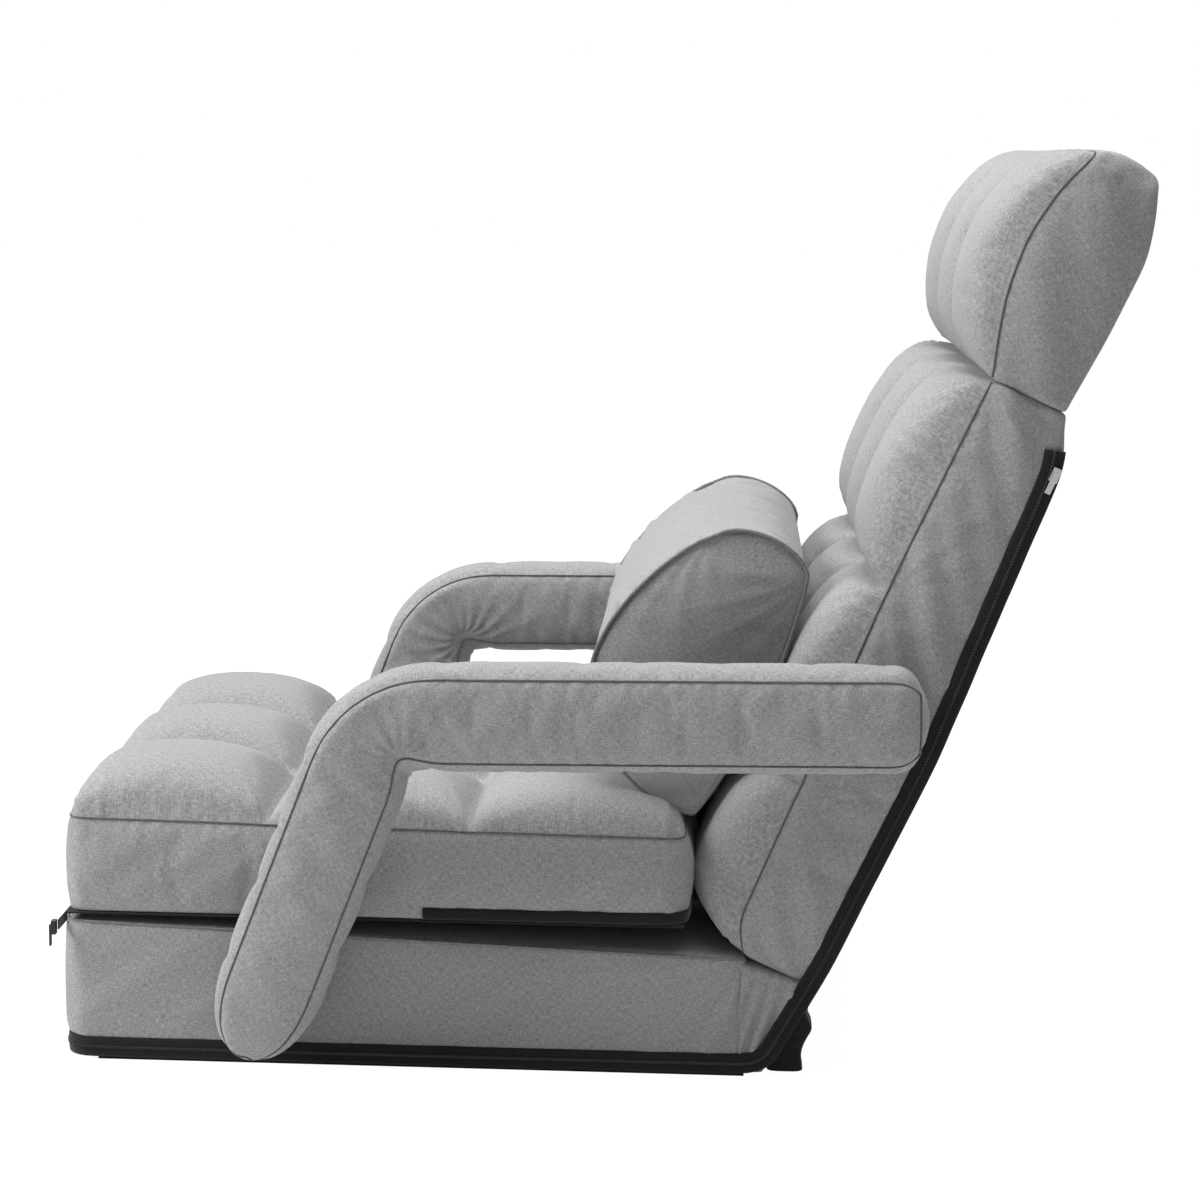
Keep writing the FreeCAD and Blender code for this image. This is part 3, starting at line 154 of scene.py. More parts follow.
weaveLook = {
    "pitch": 1.3 * mm,
    "fleckWidth": 0.95 * mm,
    "fleckLength": 5 * mm,
    "light": 0.38,
    "dark": 0.2,
    "bump": 0.2,
}


def clothFinish(name, light, dark, bump, look=weaveLook):
    finish = Finish(name, Roughness=0.92, Sheen_Weight=0.18, Sheen_Roughness=0.5)
    finish.set(Specular_IOR_Level=0.2)
    place = finish.add("ShaderNodeUVMap", {"uv_map": "weave"})
    split = finish.add("ShaderNodeSeparateXYZ", Vector=place)
    node = split.socket.node
    warp, weft = (Wire(finish.tree, node.outputs[n]) for n in (0, 1))
    turn = 2 * math.pi / look["pitch"]
    threads = warp.calc("SINE", warp * turn) * weft.calc("SINE", weft * turn)
    flecks = []
    wide, long = 1 / look["fleckWidth"], 1 / look["fleckLength"]
    for scale in ((wide, long, 1), (long, wide, 1)):
        stretched = finish.add("ShaderNodeMapping", Vector=place, Scale=scale)
        noise = {"Vector": stretched, "Scale": 1.0, "Detail": 2.0, "Roughness": 0.6}
        flecks.append(finish.add("ShaderNodeTexNoise", **noise))
    broad = finish.add("ShaderNodeTexNoise", Vector=place, Scale=12.0, Detail=2.0)
    share = (flecks[0] + flecks[1] - 1.0) * 2.1 + threads * 0.2 + broad * 0.16 + 0.42
    share = share.calc("MINIMUM", share.calc("MAXIMUM", share, 0.0), 1.0)
    finish.feed("Base Color", finish.mixColour(share, grey(dark, 0.004), grey(light, 0.004)))
    relief = threads * 0.5 + flecks[0] * 0.6 + flecks[1] * 0.6
    dent = finish.add("ShaderNodeBump", Height=relief, Strength=bump, Distance=0.5 * mm)
    finish.feed("Normal", dent)
    return finish.material


def plainFinish(name, colour, roughness, metallic=0.0, speckle=0.08):
    finish = Finish(name, Roughness=roughness, Metallic=metallic)
    place = finish.add("ShaderNodeTexCoord", output=3)
    mottle = finish.add("ShaderNodeTexNoise", Vector=place, Scale=220.0, Detail=3.0)
    darker = tuple(c * 0.7 for c in colour[:3]) + (1.0,)
    finish.feed("Base Color", finish.mixColour(mottle, darker, colour))
    finish.feed("Roughness", mottle * (speckle * 2) + (roughness - speckle))
    return finish.material


cloth = clothFinish("heather cloth", weaveLook["light"], weaveLook["dark"], weaveLook["bump"])
# painted shade: the dark seam tubes stand for the shadow in the seam grooves, whose cloth is the
# same grey as the cover
seamShadeCloth = clothFinish("seam groove painted shade", 0.13, 0.07, 0.1)
# painted shade: the piping is the same grey cloth as the cover, drawn darker for the shade along it
pipingShadeCloth = clothFinish("piping painted shade", 0.24, 0.12, 0.15)
lining = clothFinish("black lining cloth", 0.018, 0.008, 0.15)
tapeCloth = clothFinish("zip tape cloth", 0.014, 0.006, 0.12)
finishes = {
    "grey_cloth": cloth,
    "black_lining": lining,
    "black_tape": tapeCloth,
    "foam": plainFinish("cushion foam", (0.72, 0.68, 0.52, 1), 0.9),
    "black_zip": plainFinish("black zip", (0.03, 0.03, 0.032, 1), 0.35, 0.6),
    "silver_zip": plainFinish("silver zip", (0.42, 0.42, 0.43, 1), 0.3, 1.0, 0.04),
    "frame_steel": plainFinish("black frame steel", (0.03, 0.03, 0.032, 1), 0.4, 0.3),
    "bright_steel": plainFinish("zinc plated steel", (0.5, 0.5, 0.51, 1), 0.32, 1.0),
}
for node in frame["nodes"].values():
    for place, old in enumerate(node.data.materials):
        known = [slot for slot in finishes if old and slot in old.name]
        if known:
            node.data.materials[place] = finishes[known[0]]
print("materials ready")


def stations(ends, step):
    # grid lines with every end on one of them, and where those ends are
    lines, marks = [ends[0]], [0]
    for low, high in zip(ends, ends[1:]):
        count = max(3, round(abs(high - low) / step))
        lines += list(np.linspace(low, high, count + 1)[1:])
        marks.append(len(lines) - 1)
    return np.array(lines), marks


def boxGrid(counts):
    # the corners of all cells on a box's surface, and its quads
    faces = []
    for axis in range(3):
        first, second = [n for n in range(3) if n != axis]
        p, q = np.meshgrid(range(counts[first]), range(counts[second]), indexing="ij")
        for place in (0, counts[axis]):
            corners = np.zeros(p.shape + (4, 3), int)
            corners[..., axis] = place
            for n, (dp, dq) in enumerate(((0, 0), (1, 0), (1, 1), (0, 1))):
                corners[..., n, first] = p + dp
                corners[..., n, second] = q + dq
            faces.append(corners.reshape(-1, 4, 3))
    corners = np.concatenate(faces)
    sides = np.concatenate([np.full(len(f), n) for n, f in enumerate(faces)])
    sizes = np.array(counts) + 1
    codes = (corners[..., 0] * sizes[1] + corners[..., 1]) * sizes[2] + corners[..., 2]
    kept, quads = np.unique(codes, return_inverse=True)
    quads = quads.reshape(codes.shape)
    cells = np.stack(
        [kept // (sizes[1] * sizes[2]), kept // sizes[2] % sizes[1], kept % sizes[2]], axis=-1
    )
    return cells, quads, sides


def meshObject(name, points, faces, material, weave=None):
    mesh = bpy.data.meshes.new(name)
    mesh.from_pydata(np.asarray(points).tolist(), [], [list(map(int, f)) for f in faces])
    layer = mesh.uv_layers.new(name="weave")
    if weave is None:
        flat = np.asarray(points)
        loops = np.array([l.vertex_index for l in mesh.loops])
        weave = flat[loops][:, [1, 2]] + flat[loops][:, [0, 0]]
    layer.data.foreach_set("uv", np.asarray(weave, np.float32).ravel())
    shaped = bmesh.new()
    shaped.from_mesh(mesh)
    bmesh.ops.recalc_face_normals(shaped, faces=shaped.faces)
    shaped.to_mesh(mesh)
    shaped.free()
    mesh.polygons.foreach_set("use_smooth", [True] * len(mesh.polygons))
    mesh.materials.append(material)
    made = bpy.data.objects.new(name, mesh)
    bpy.context.scene.collection.objects.link(made)
    return made


def readThrees(items, label):
    flat = np.zeros(len(items) * 3)
    items.foreach_get(label, flat)
    return flat.reshape(-1, 3)


def getPoints(obj):
    return readThrees(obj.data.vertices, "co")


def setPoints(obj, points):
    obj.data.vertices.foreach_set("co", np.asarray(points).ravel())
    obj.data.update()


def getNormals(obj):
    return readThrees(obj.data.vertex_normals, "vector")


def setGrid(obj, *values):
    # each point keeps its place on the plain grid through the subdivision
    field = obj.data.attributes.new("grid", "FLOAT_VECTOR", "POINT")
    field.data.foreach_set("vector", np.stack(values, axis=-1).astype(np.float32).ravel())


def getGrid(obj):
    return readThrees(obj.data.attributes["grid"].data, "vector").astype(np.float32).T


def settle(obj):
    # the mesh as its modifiers leave it becomes the object's own
    bpy.context.view_layer.update()
    shown = obj.evaluated_get(bpy.context.evaluated_depsgraph_get())
    return bpy.data.meshes.new_from_object(shown)


def halve(obj, seam):
    # one subdivision, with the seams kept sharp
    crease = obj.data.attributes.new("crease_edge", "FLOAT", "EDGE")
    ends = np.zeros(len(obj.data.edges) * 2, int)
    obj.data.edges.foreach_get("vertices", ends)
    flags = np.asarray(seam)[ends.reshape(-1, 2)].all(axis=1)
    crease.data.foreach_set("value", np.where(flags, 0.9, 0.0).astype(np.float32))
    finer = obj.modifiers.new("finer", "SUBSURF")
    finer.levels = finer.render_levels = 1
    mesh = settle(obj)
    obj.modifiers.remove(finer)
    old = obj.data
    obj.data = mesh
    bpy.data.meshes.remove(old)


clothRun = {
    "frames": 16,
    "quality": 5,
    "mass": 0.3,
    "pressure": 4.0,
    "tension": 14.0,
    "shear": 4,
    "bending": 0.35,
    "damping": 6,
}
# how many folds fan out from one spot, each way
foldCounts = {"corner": 11, "tuft": 10, "side": 9, "elbow": 9, "pillow": 9}


def puff(obj, held, slack, looseness, tightness, cap):
    # a short cloth run: pressure fills the cover while its seams are held
    before = getPoints(obj)
    for name, weights in (("held", held), ("slack", slack)):
        group = obj.vertex_groups.new(name=name)
        for level in np.unique(np.round(weights, 2)):
            if level > 0:
                group.add(
                    np.flatnonzero(np.round(weights, 2) == level).tolist(), float(level), "REPLACE"
                )
    modifier = obj.modifiers.new("cover", "CLOTH")
    run = modifier.settings
    run.quality = clothRun["quality"]
    run.mass = clothRun["mass"]
    run.tension_stiffness = run.compression_stiffness = clothRun["tension"]
    run.shear_stiffness = clothRun["shear"]
    run.bending_stiffness = clothRun["bending"]
    run.air_damping = clothRun["damping"]
    run.use_pressure = True
    run.uniform_pressure_force = clothRun["pressure"]
    run.effector_weights.gravity = 0
    run.vertex_group_mass = "held"
    run.pin_stiffness = 1
    run.vertex_group_shrink = "slack"
    run.shrink_min = -tightness
    run.shrink_max = -looseness
    modifier.collision_settings.use_collision = False
    modifier.collision_settings.use_self_collision = False
    modifier.point_cache.frame_start = 1
    modifier.point_cache.frame_end = clothRun["frames"]
    for step in range(1, clothRun["frames"] + 1):
        bpy.context.scene.frame_set(step)
    mesh = settle(obj)
    after = readThrees(mesh.vertices, "co")
    bpy.data.meshes.remove(mesh)
    obj.modifiers.remove(modifier)
    obj.vertex_groups.clear()
    bpy.context.scene.frame_set(1)
    move = after - before
    far = np.linalg.norm(move, axis=1, keepdims=True)
    share = cap * np.tanh(far / cap) / np.maximum(far, 1e-9)
    setPoints(obj, before + move * share)
    print(obj.name, "filled, moved up to", round(float(far.max()) / mm, 1), "mm")


def wave(values, low, high, seed, count=7):
    # a smooth random line whose waves are between low and high long
    dice = np.random.default_rng(seed)
    total = np.zeros_like(values, float)
    for length, turn in zip(dice.uniform(low, high, count), dice.uniform(0, 6.3, count)):
        total += np.sin(values * 2 * math.pi / length + turn)
    return total / math.sqrt(count / 2)


def tubeMesh(name, path, radius, material, sides=8, closed=False):
    path = np.asarray(path, float)
    ahead = np.roll(path, -1, axis=0) - np.roll(path, 1, axis=0)
    if not closed:
        ahead[0], ahead[-1] = path[1] - path[0], path[-1] - path[-2]
    ahead /= np.maximum(np.linalg.norm(ahead, axis=1, keepdims=True), 1e-9)
    up = np.array([0.0, 0, 1]) if abs(ahead[0][2]) < 0.9 else np.array([0.0, 1, 0])
    ring, points = np.linspace(0, 2 * math.pi, sides, endpoint=False), []
    for place, way in zip(path, ahead):
        up = up - way * up.dot(way)
        up = up / max(np.linalg.norm(up), 1e-9)
        side = np.cross(way, up)
        points.append(place + radius * (np.outer(np.cos(ring), up) + np.outer(np.sin(ring), side)))
    count = len(path)
    faces = []
    for n in range(count if closed else count - 1):
        a, b = n * sides, (n + 1) % count * sides
        faces += [(a + k, a + (k + 1) % sides, b + (k + 1) % sides, b + k) for k in range(sides)]
    if not closed:
        faces += [tuple(range(sides)), tuple(range((count - 1) * sides, count * sides))]
    return meshObject(name, np.concatenate(points), faces, material)


def joined(name, objects):
    # several meshes as one object
    with bpy.context.temp_override(active_object=objects[0], selected_editable_objects=objects):
        bpy.ops.object.join()
    objects[0].name = objects[0].data.name = name
    return objects[0]


def smoothPath(path, rounds=2):
    for _ in range(rounds):
        inner = (path[:-2] + 2 * path[1:-1] + path[2:]) / 4
        path = np.concatenate([path[:1], inner, path[-1:]])
    return path


def lobe(share, fullness):
    # height across one lobe: 0 at its seams and 1 in the middle
    return np.clip(1 - np.abs(2 * share - 1) ** fullness, 0, 1) ** (1 / fullness)


def inLobe(values, ends):
    ends = np.asarray(ends)
    row = np.clip(np.searchsorted(ends, values, side="right") - 1, 0, len(ends) - 2)
    return (values - ends[row]) / (ends[row + 1] - ends[row]), row


def panelWeave(quads, sides, a, x, h, thick=2):
    # each panel's weave laid flat, from lengths along the box grid's axes
    corners, axis = quads.ravel(), np.repeat(sides // 2, 4)
    first = np.where(axis == 0, x[corners], a[corners])
    return np.stack([first, np.where(axis == thick, x[corners], h[corners])], axis=-1)


def fromSeam(values, ends):
    return np.min(np.abs(np.asarray(values)[:, None] - np.asarray(ends)[None, :]), axis=1)


def cushion(name, spec, block, topWay, endWay):
    # block(a, x, h) is the plain block, and topWay is the way its tufted side faces
    rows, columns, half = spec["rows"], spec["columns"], spec["half"]
    along, alongMarks = stations(rows, spec["grid"])
    across, acrossMarks = stations(columns, spec["grid"])
    deepCount = spec["deep"]
    counts = (len(along) - 1, len(across) - 1, deepCount)
    cells, quads, sides = boxGrid(counts)
    a, x, h = along[cells[:, 0]], across[cells[:, 1]], cells[:, 2] / deepCount
    top, foot = cells[:, 2] == deepCount, cells[:, 2] == 0
    ends = [cells[:, 0] == 0, cells[:, 0] == counts[0]]
    flank = (cells[:, 1] == 0) | (cells[:, 1] == counts[1])
    outline = top & (flank | ends[0] | ends[1])
    channels = np.isin(cells[:, 0], alongMarks) | np.isin(cells[:, 1], acrossMarks)
    seam = outline | top & channels
    cornerA, cornerX = squeezed(a, x, rows, half, spec["corners"])
    points = block(cornerA, cornerX, h)
    shareA, row = inLobe(a, rows)
    shareX, _ = inLobe(x, columns)
    crowns = np.array(spec["crowns"])[row]
    height = crowns * (lobe(shareA, spec["fullness"]) * lobe(shareX, spec["fullness"])) ** 0.9
    drop = np.where(seam & ~outline, spec["channelRise"] * lobe((x + half) / (2 * half), 2.5), 0)
    drop = np.where(ends[0] | ends[1], 0, drop)
    points += topWay * np.where(top, np.maximum(height, drop), 0)[:, None]
    bow = (4 * h * (1 - h)) ** 0.7
    fade = np.ones_like(a)
    for length, near in zip(spec["sideFade"], (a - rows[0], rows[-1] - a)):
        fade = fade * (np.clip(near / length, 0, 1) if length else 1)
    points[:, 0] += np.where(flank, np.sign(x) * spec["sideCrown"] * bow * np.sqrt(fade), 0)
    for n, on in enumerate(ends):
        swell = spec["endCrowns"][n] * bow * lobe((x + half) / (2 * half), 3)
        points += endWay[n] * np.where(on, swell, 0)[:, None]
    weave = panelWeave(quads, sides, a, x, h * spec["depth"])
    made = meshObject(name, points, quads, cloth, weave)
    setGrid(made, a, x, h)
    held = np.where(seam | foot, 1.0, 0.0)
    held = np.where(ends[0] & spec["holdEnds"][0] | ends[1] & spec["holdEnds"][1], 1.0, held)
    slack = np.where(top, 1.0, 0.0)
    if spec["topSlack"] > 0.01:
        puff(made, held, slack, spec["topSlack"], spec["sideSlack"], spec["cap"])
    paths = {
        "left": np.flatnonzero(top & (cells[:, 1] == counts[1])),
        "right": np.flatnonzero(top & (cells[:, 1] == 0)),
    }
    paths = {key: ids[np.argsort(a[ids])] for key, ids in paths.items()}
    for key, on in (("start", ends[0]), ("end", ends[1])):
        ids = np.flatnonzero(top & on)
        paths[key] = ids[np.argsort(x[ids])]
    inward = -getNormals(made)
    points = getPoints(made)
    points[seam] += inward[seam] * spec["seamSink"]
    setPoints(made, points)
    halve(made, seam)
    gather(made, spec)
    return made, paths


def squeezed(a, x, rows, half, radii):
    # rounds the plan's corners: radii at the first row's end and the last row's
    a, x = np.array(a, float), np.array(x, float)
    for radius, near, way in ((radii[0], a - rows[0], 1), (radii[1], rows[-1] - a, -1)):
        if radius <= 0:
            continue
        p = np.clip((np.abs(x) - (half - radius)) / radius, 0, 1)
        q = np.clip((radius - near) / radius, 0, 1)
        newP, newQ = p * np.sqrt(1 - q * q / 2), q * np.sqrt(1 - p * p / 2)
        x = x + np.sign(x) * (newP - p) * radius
        a = a + way * (q - newQ) * radius
    return a, x


def gather(made, spec):
    # fine gathers beside the seams, fading into each panel
    points, normals = getPoints(made), getNormals(made)
    a, x, h = getGrid(made)
    rows, columns, half = spec["rows"], spec["columns"], spec["half"]
    onTop = h > 0.999
    seed = spec["seed"]
    lift = np.zeros(len(points))
    toRow = fromSeam(a, rows)
    toColumn = fromSeam(x, columns)
    toFlank = half - np.abs(x)
    shareA, row = inLobe(a, rows)
    share = lobe(shareA, spec["fullness"]) * lobe(inLobe(x, columns)[0], spec["fullness"])
    height = np.array(spec["crowns"])[row] * share
    # distances are taken over the rounded surface
    overFlank, overRow = np.hypot(toFlank, height), np.hypot(toRow, height)
    overX = np.sign(x) * (half - overFlank)
    acrossLine = wave(x + np.round(a, 2) * 3, 11 * mm, 27 * mm, seed)
    alongLine = wave(a + np.sign(x) * 0.3, 10 * mm, 26 * mm, seed + 1)
    reach = spec["gatherReach"]
    patchy = 0.6 + 0.4 * wave(a, 80 * mm, 160 * mm, seed + 2)
    patchyAcross = 0.6 + 0.4 * wave(x, 80 * mm, 160 * mm, seed + 3)

    def near(distance, scale):
        return np.exp(-distance / scale) * np.clip(distance / (4 * mm), 0, 1)

    lift += spec["gather"] * acrossLine * near(overRow, reach * 0.7) * patchyAcross * 0.7
    lift += spec["gather"] * alongLine * near(overFlank, reach) * patchy
    lift += spec["gather"] * alongLine * near(toColumn, reach * 0.6) * 0.4 * (toFlank > 30 * mm)
    fanRows = rows[spec["firstFan"]:spec["lastFan"]]
    corners = [(row, side * half) for row in fanRows for side in (-1, 1)]
    tufts = [(row, column) for row in rows[1:-1] for column in columns[1:-1]]
    edge = np.clip(np.minimum(toRow, np.minimum(toColumn, toFlank)) / (5 * mm), 0, 1)
    fanReach = spec["fanReach"]
    cornerFolds = radialFolds(a, overX, corners, fanReach, foldCounts["corner"], seed + 5)
    tuftFolds = radialFolds(a, x, tufts, fanReach * 0.6, foldCounts["tuft"], seed + 6)
    lift += edge * spec["fan"] * cornerFolds
    lift += edge * spec["fan"] * 0.5 * tuftFolds
    lift = np.where(onTop, lift, 0)
    depth = (1 - h) * spec["depth"]
    panel = spec["gather"] * 0.35 * alongLine * near(depth, reach * 0.6)
    wrinkles = wave(a * 0.8 + depth * 1.1, 45 * mm, 120 * mm, seed + 4)
    panel += spec["sideWrinkle"] * wrinkles * np.sin(math.pi * h)
    fans = [(row, -2 * mm) for row in fanRows]
    sideFolds = radialFolds(a, depth, fans, fanReach * 1.7, foldCounts["side"], seed + 7)
    panel += spec["sideFan"] * sideFolds * (4 * h * np.clip(1 - h, 0, 1)) ** 0.5
    onFlank = ~onTop & (toFlank < 1.5 * mm) & (h > 0.001)
    lift = np.where(onFlank, panel, lift)
    setPoints(made, points + normals * lift[:, None])


def radialFolds(p, q, spots, reach, folds, seed):
    # folds that fan out from the spots where the cloth is drawn together
    dice = np.random.default_rng(seed)
    total = np.zeros_like(p, float)
    for spotP, spotQ in spots:
        far = np.hypot(p - spotP, q - spotQ)
        angle = np.arctan2(q - spotQ, p - spotP)
        turn, bend, length = dice.uniform(0, 6.3), dice.uniform(-14, 14), dice.uniform(0.75, 1.25)
        ridge = 1 - 1.7 * np.abs(np.sin(angle * folds + turn + bend * far)) ** 0.8
        total += ridge * np.exp(-far / (reach * length)) * np.clip(far / (9 * mm), 0, 1)
    return total


# tubes along the seams, drawn darker than the cover as painted shade of the seam grooves
def seamTubes(name, made, paths, radius, material, raise_=0.0003):
    points, normals = getPoints(made), getNormals(made)
    tubes = []
    for ids in paths:
        line = smoothPath(points[ids] + normals[ids] * raise_, 1)
        tubes.append(tubeMesh(name, line, radius, material, 6))
    return joined(name, tubes)


def thirds(half):
    return [-half, -half / 3, half / 3, half]


# what the cushions have in common, unless their own sizes say otherwise
tufted = {
    "fullness": 2.3,
    "channelRise": 12 * mm,
    "sideCrown": 4 * mm,
    "grid": 6.5 * mm,
    "topSlack": 0.09,
    "sideSlack": 0.012,
    "cap": 12 * mm,
    "seamSink": 1.6 * mm,
    "firstFan": 0,
    "fanReach": 34 * mm,
}

baseLow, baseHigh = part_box("base_cover")
base = {
    **tufted,
    "rows": [baseLow.y + 5 * mm, baseHigh.y - 2 * mm],
    "columns": [-halfWidth + 4 * mm, halfWidth - 4 * mm],
    "half": halfWidth - 4 * mm,
    "frontTop": 133.5 * mm,
    "rearTop": 111 * mm,
    "foot": 1.5 * mm,
    "corner": 32 * mm,
    "depth": 130 * mm,
    "corners": (22 * mm, 6 * mm),
    "crowns": [4 * mm],
    "fullness": 2.4,
    "channelRise": 0,
    "sideFade": (60 * mm, 0),
    "endCrowns": (5 * mm, 2 * mm),
    "holdEnds": (False, True),
    "grid": 8 * mm,
    "deep": 18,
    "topSlack": 0.004,
    "cap": 6 * mm,
    "seamSink": 0.6 * mm,
    "gather": 0.25 * mm,
    "gatherReach": 14 * mm,
    "sideWrinkle": 0.5 * mm,
    "firstFan": 1,
    "lastFan": 2,
    "fan": 0,
    "fanReach": 60 * mm,
    "sideFan": 2.6 * mm,
    "seed": 3,
}


def baseBlock(a, x, h):
    top = np.interp(a, base["rows"], (base["frontTop"], base["rearTop"]))
    z = base["foot"] + (top - base["foot"]) * h
    under = np.clip(1 - (z - base["foot"]) / base["corner"], 0, 1)
    curl = base["corner"] * (1 - np.sqrt(1 - under**2))
    front, rear = base["rows"]
    return onFloor(x, a + curl * (rear - a) / (rear - front), z)


up = np.array([0.0, 0, 1])
forward = np.array([0.0, -1, 0])
baseCushion, basePaths = cushion("baseCushion", base, baseBlock, up, (forward, -forward))
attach(baseCushion, "base")
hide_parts("base_cover", "base_foam")
# the base's seam tubes take the darker piping cloth, which is painted shade
baseSeam = seamTubes(
    "baseSeam",
    baseCushion,
    [basePaths["left"], basePaths["right"], basePaths["start"]],
    1.1 * mm,
    pipingShadeCloth,
)
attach(baseSeam, "base")
print("base done")

padLow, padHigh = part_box("seat_pad_cover")
pad = {
    **tufted,
    "front": padLow.y + 3.7 * mm,
    "rear": padHigh.y - 5.2 * mm,
    "foot": padLow.z,
    "seams": (89 * mm, 82 * mm),
    "rowLengths": (188 * mm, 186 * mm),
    "half": halfWidth - 5 * mm,
    "depth": 86 * mm,
    "corners": (16 * mm, 16 * mm),
    "crowns": [51 * mm, 38 * mm, 35 * mm],
    "channelRise": 9 * mm,
    "sideFade": (40 * mm, 40 * mm),
    "endCrowns": (4 * mm, 7 * mm),
    "holdEnds": (False, False),
    "deep": 12,
    "gather": 1.3 * mm,
    "gatherReach": 24 * mm,
    "sideWrinkle": 0.5 * mm,
    "lastFan": 4,
    "fan": 2.4 * mm,
    "fanReach": 30 * mm,
    "sideFan": 0.8 * mm,
    "seed": 21,
}
pad["rows"] = [
    pad["front"],
    pad["front"] + pad["rowLengths"][0],
    pad["front"] + sum(pad["rowLengths"]),
    pad["rear"],
]
pad["columns"] = thirds(pad["half"])


def padBlock(a, x, h):
    top = np.interp(a, (pad["front"], pad["rear"]), pad["seams"])
    return onFloor(x, a, pad["foot"] + top * h)


seatPad, padPaths = cushion("seatPad", pad, padBlock, up, (forward, -forward))
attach(seatPad, "seat_pad")
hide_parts("seat_pad_cover", "seat_pad_foam")
padSeam = seamTubes("padSeam", seatPad, list(padPaths.values()), 1.0 * mm, seamShadeCloth)
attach(padSeam, "seat_pad")
print("seat pad done")

back = {
    **tufted,
    "rows": [46 * mm, 215 * mm, 412 * mm, 620.9 * mm],
    "seamLine": (
        (46 * mm, -34 * mm),
        (68 * mm, -54 * mm),
        (215 * mm, -58 * mm),
        (412 * mm, -65 * mm),
        (620.9 * mm, -63 * mm),
    ),
    "rearLine": (
        (46 * mm, 40 * mm),
        (290 * mm, 44 * mm),
        (400 * mm, 38 * mm),
        (579 * mm, 29 * mm),
        (620.9 * mm, 9 * mm),
    ),
    "half": halfWidth - 4 * mm,
    "depth": 98 * mm,
    "corners": (8 * mm, 0),
    "crowns": [58 * mm, 52 * mm, 52 * mm],
    "sideFade": (40 * mm, 0),
    "endCrowns": (2 * mm, 0),
    "holdEnds": (True, True),
    "deep": 13,
    "sideSlack": 0.014,
    "gather": 1.4 * mm,
    "gatherReach": 26 * mm,
    "sideWrinkle": 1.6 * mm,
    "lastFan": 4,
    "fan": 2.8 * mm,
    "sideFan": 2.0 * mm,
    "seed": 31,
}
back["columns"] = thirds(back["half"])


def onLine(line, s):
    # a smooth curve that passes near the line's points
    total = np.zeros_like(np.asarray(s, float))
    for shift in np.linspace(-14 * mm, 14 * mm, 7):
        total += np.interp(s + shift, [p[0] for p in line], [p[1] for p in line])
    return total / 7


def standingBlock(spec):
    # the plain block between the rear line and the seam line
    def block(a, x, h):
        rear, front = onLine(spec["rearLine"], a), onLine(spec["seamLine"], a)
        return onBack(x, rear + (front - rear) * h, a)

    return block


backForward = np.array([0, -leanCos, leanSin])
backUp = np.array([0, leanSin, leanCos])
standingEnds = (-backUp, backUp)
backCushion, backPaths = cushion(
    "backCushion", back, standingBlock(back), backForward, standingEnds
)
print("back done")

head = {
    **tufted,
    "rows": [621.1 * mm, 841 * mm],
    "seamLine": (
        (621.1 * mm, -63 * mm),
        (660 * mm, -76 * mm),
        (700 * mm, -86 * mm),
        (750 * mm, -90 * mm),
        (800 * mm, -82 * mm),
        (841 * mm, -66 * mm),
    ),
    "rearLine": (
        (621.1 * mm, 9 * mm),
        (697 * mm, 14 * mm),
        (774 * mm, 15 * mm),
        (815 * mm, 4 * mm),
        (841 * mm, -8 * mm),
    ),
    "half": halfWidth - 4 * mm,
    "depth": 90 * mm,
    "corners": (0, 14 * mm),
    "crowns": [40 * mm],
    "sideFade": (0, 40 * mm),
    "endCrowns": (0, 9 * mm),
    "holdEnds": (True, False),
    "deep": 10,
    "gather": 1.2 * mm,
    "gatherReach": 26 * mm,
    "sideWrinkle": 0.8 * mm,
    "lastFan": 2,
    "fan": 2.4 * mm,
    "sideFan": 0.8 * mm,
    "seed": 41,
}
head["columns"] = thirds(head["half"])

headCushion, headPaths = cushion(
    "headCushion", head, standingBlock(head), backForward, standingEnds
)
print("head done")

backSeam = seamTubes(
    "backSeam", backCushion, [backPaths["left"], backPaths["right"]], 1.0 * mm, seamShadeCloth
)
headSeam = seamTubes(
    "headSeam", headCushion, [headPaths[k] for k in ("left", "right", "end")], 1.0 * mm, seamShadeCloth
)
waistLine = {"low": 50 * mm, "high": 205 * mm}
neckLine = {"low": 621 * mm, "high": 700 * mm}


def blendAlong(made, line, v=0.0):
    start, end = onBack(0.0, v, line["low"]), onBack(0.0, v, line["high"])
    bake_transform(made)


for made in (backCushion, backSeam):
    blendAlong(made, waistLine)
for made in (headCushion, headSeam):
    blendAlong(made, neckLine)
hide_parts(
    "back_lower_cover",
    "back_lower_foam",
    "back_cover",
    "back_lumbar_foam",
    "back_upper_foam",
)
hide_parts("head_cover", "head_foam", "neck_fold")

waist = {
    "half": halfWidth - 5 * mm,
    "low": (314 * mm, 2 * mm),
    "high": (312 * mm, 109 * mm),
    "rearLow": (336 * mm, 3 * mm),
    "rearHigh": (379 * mm, 88 * mm),
    "sideCrown": 5 * mm,
    "rearBow": 5 * mm,
    "fold": 4.2 * mm,
    "liningInset": 7 * mm,
    "liningRear": 383 * mm,
    "liningTop": 92 * mm,
    "seed": 71,
}


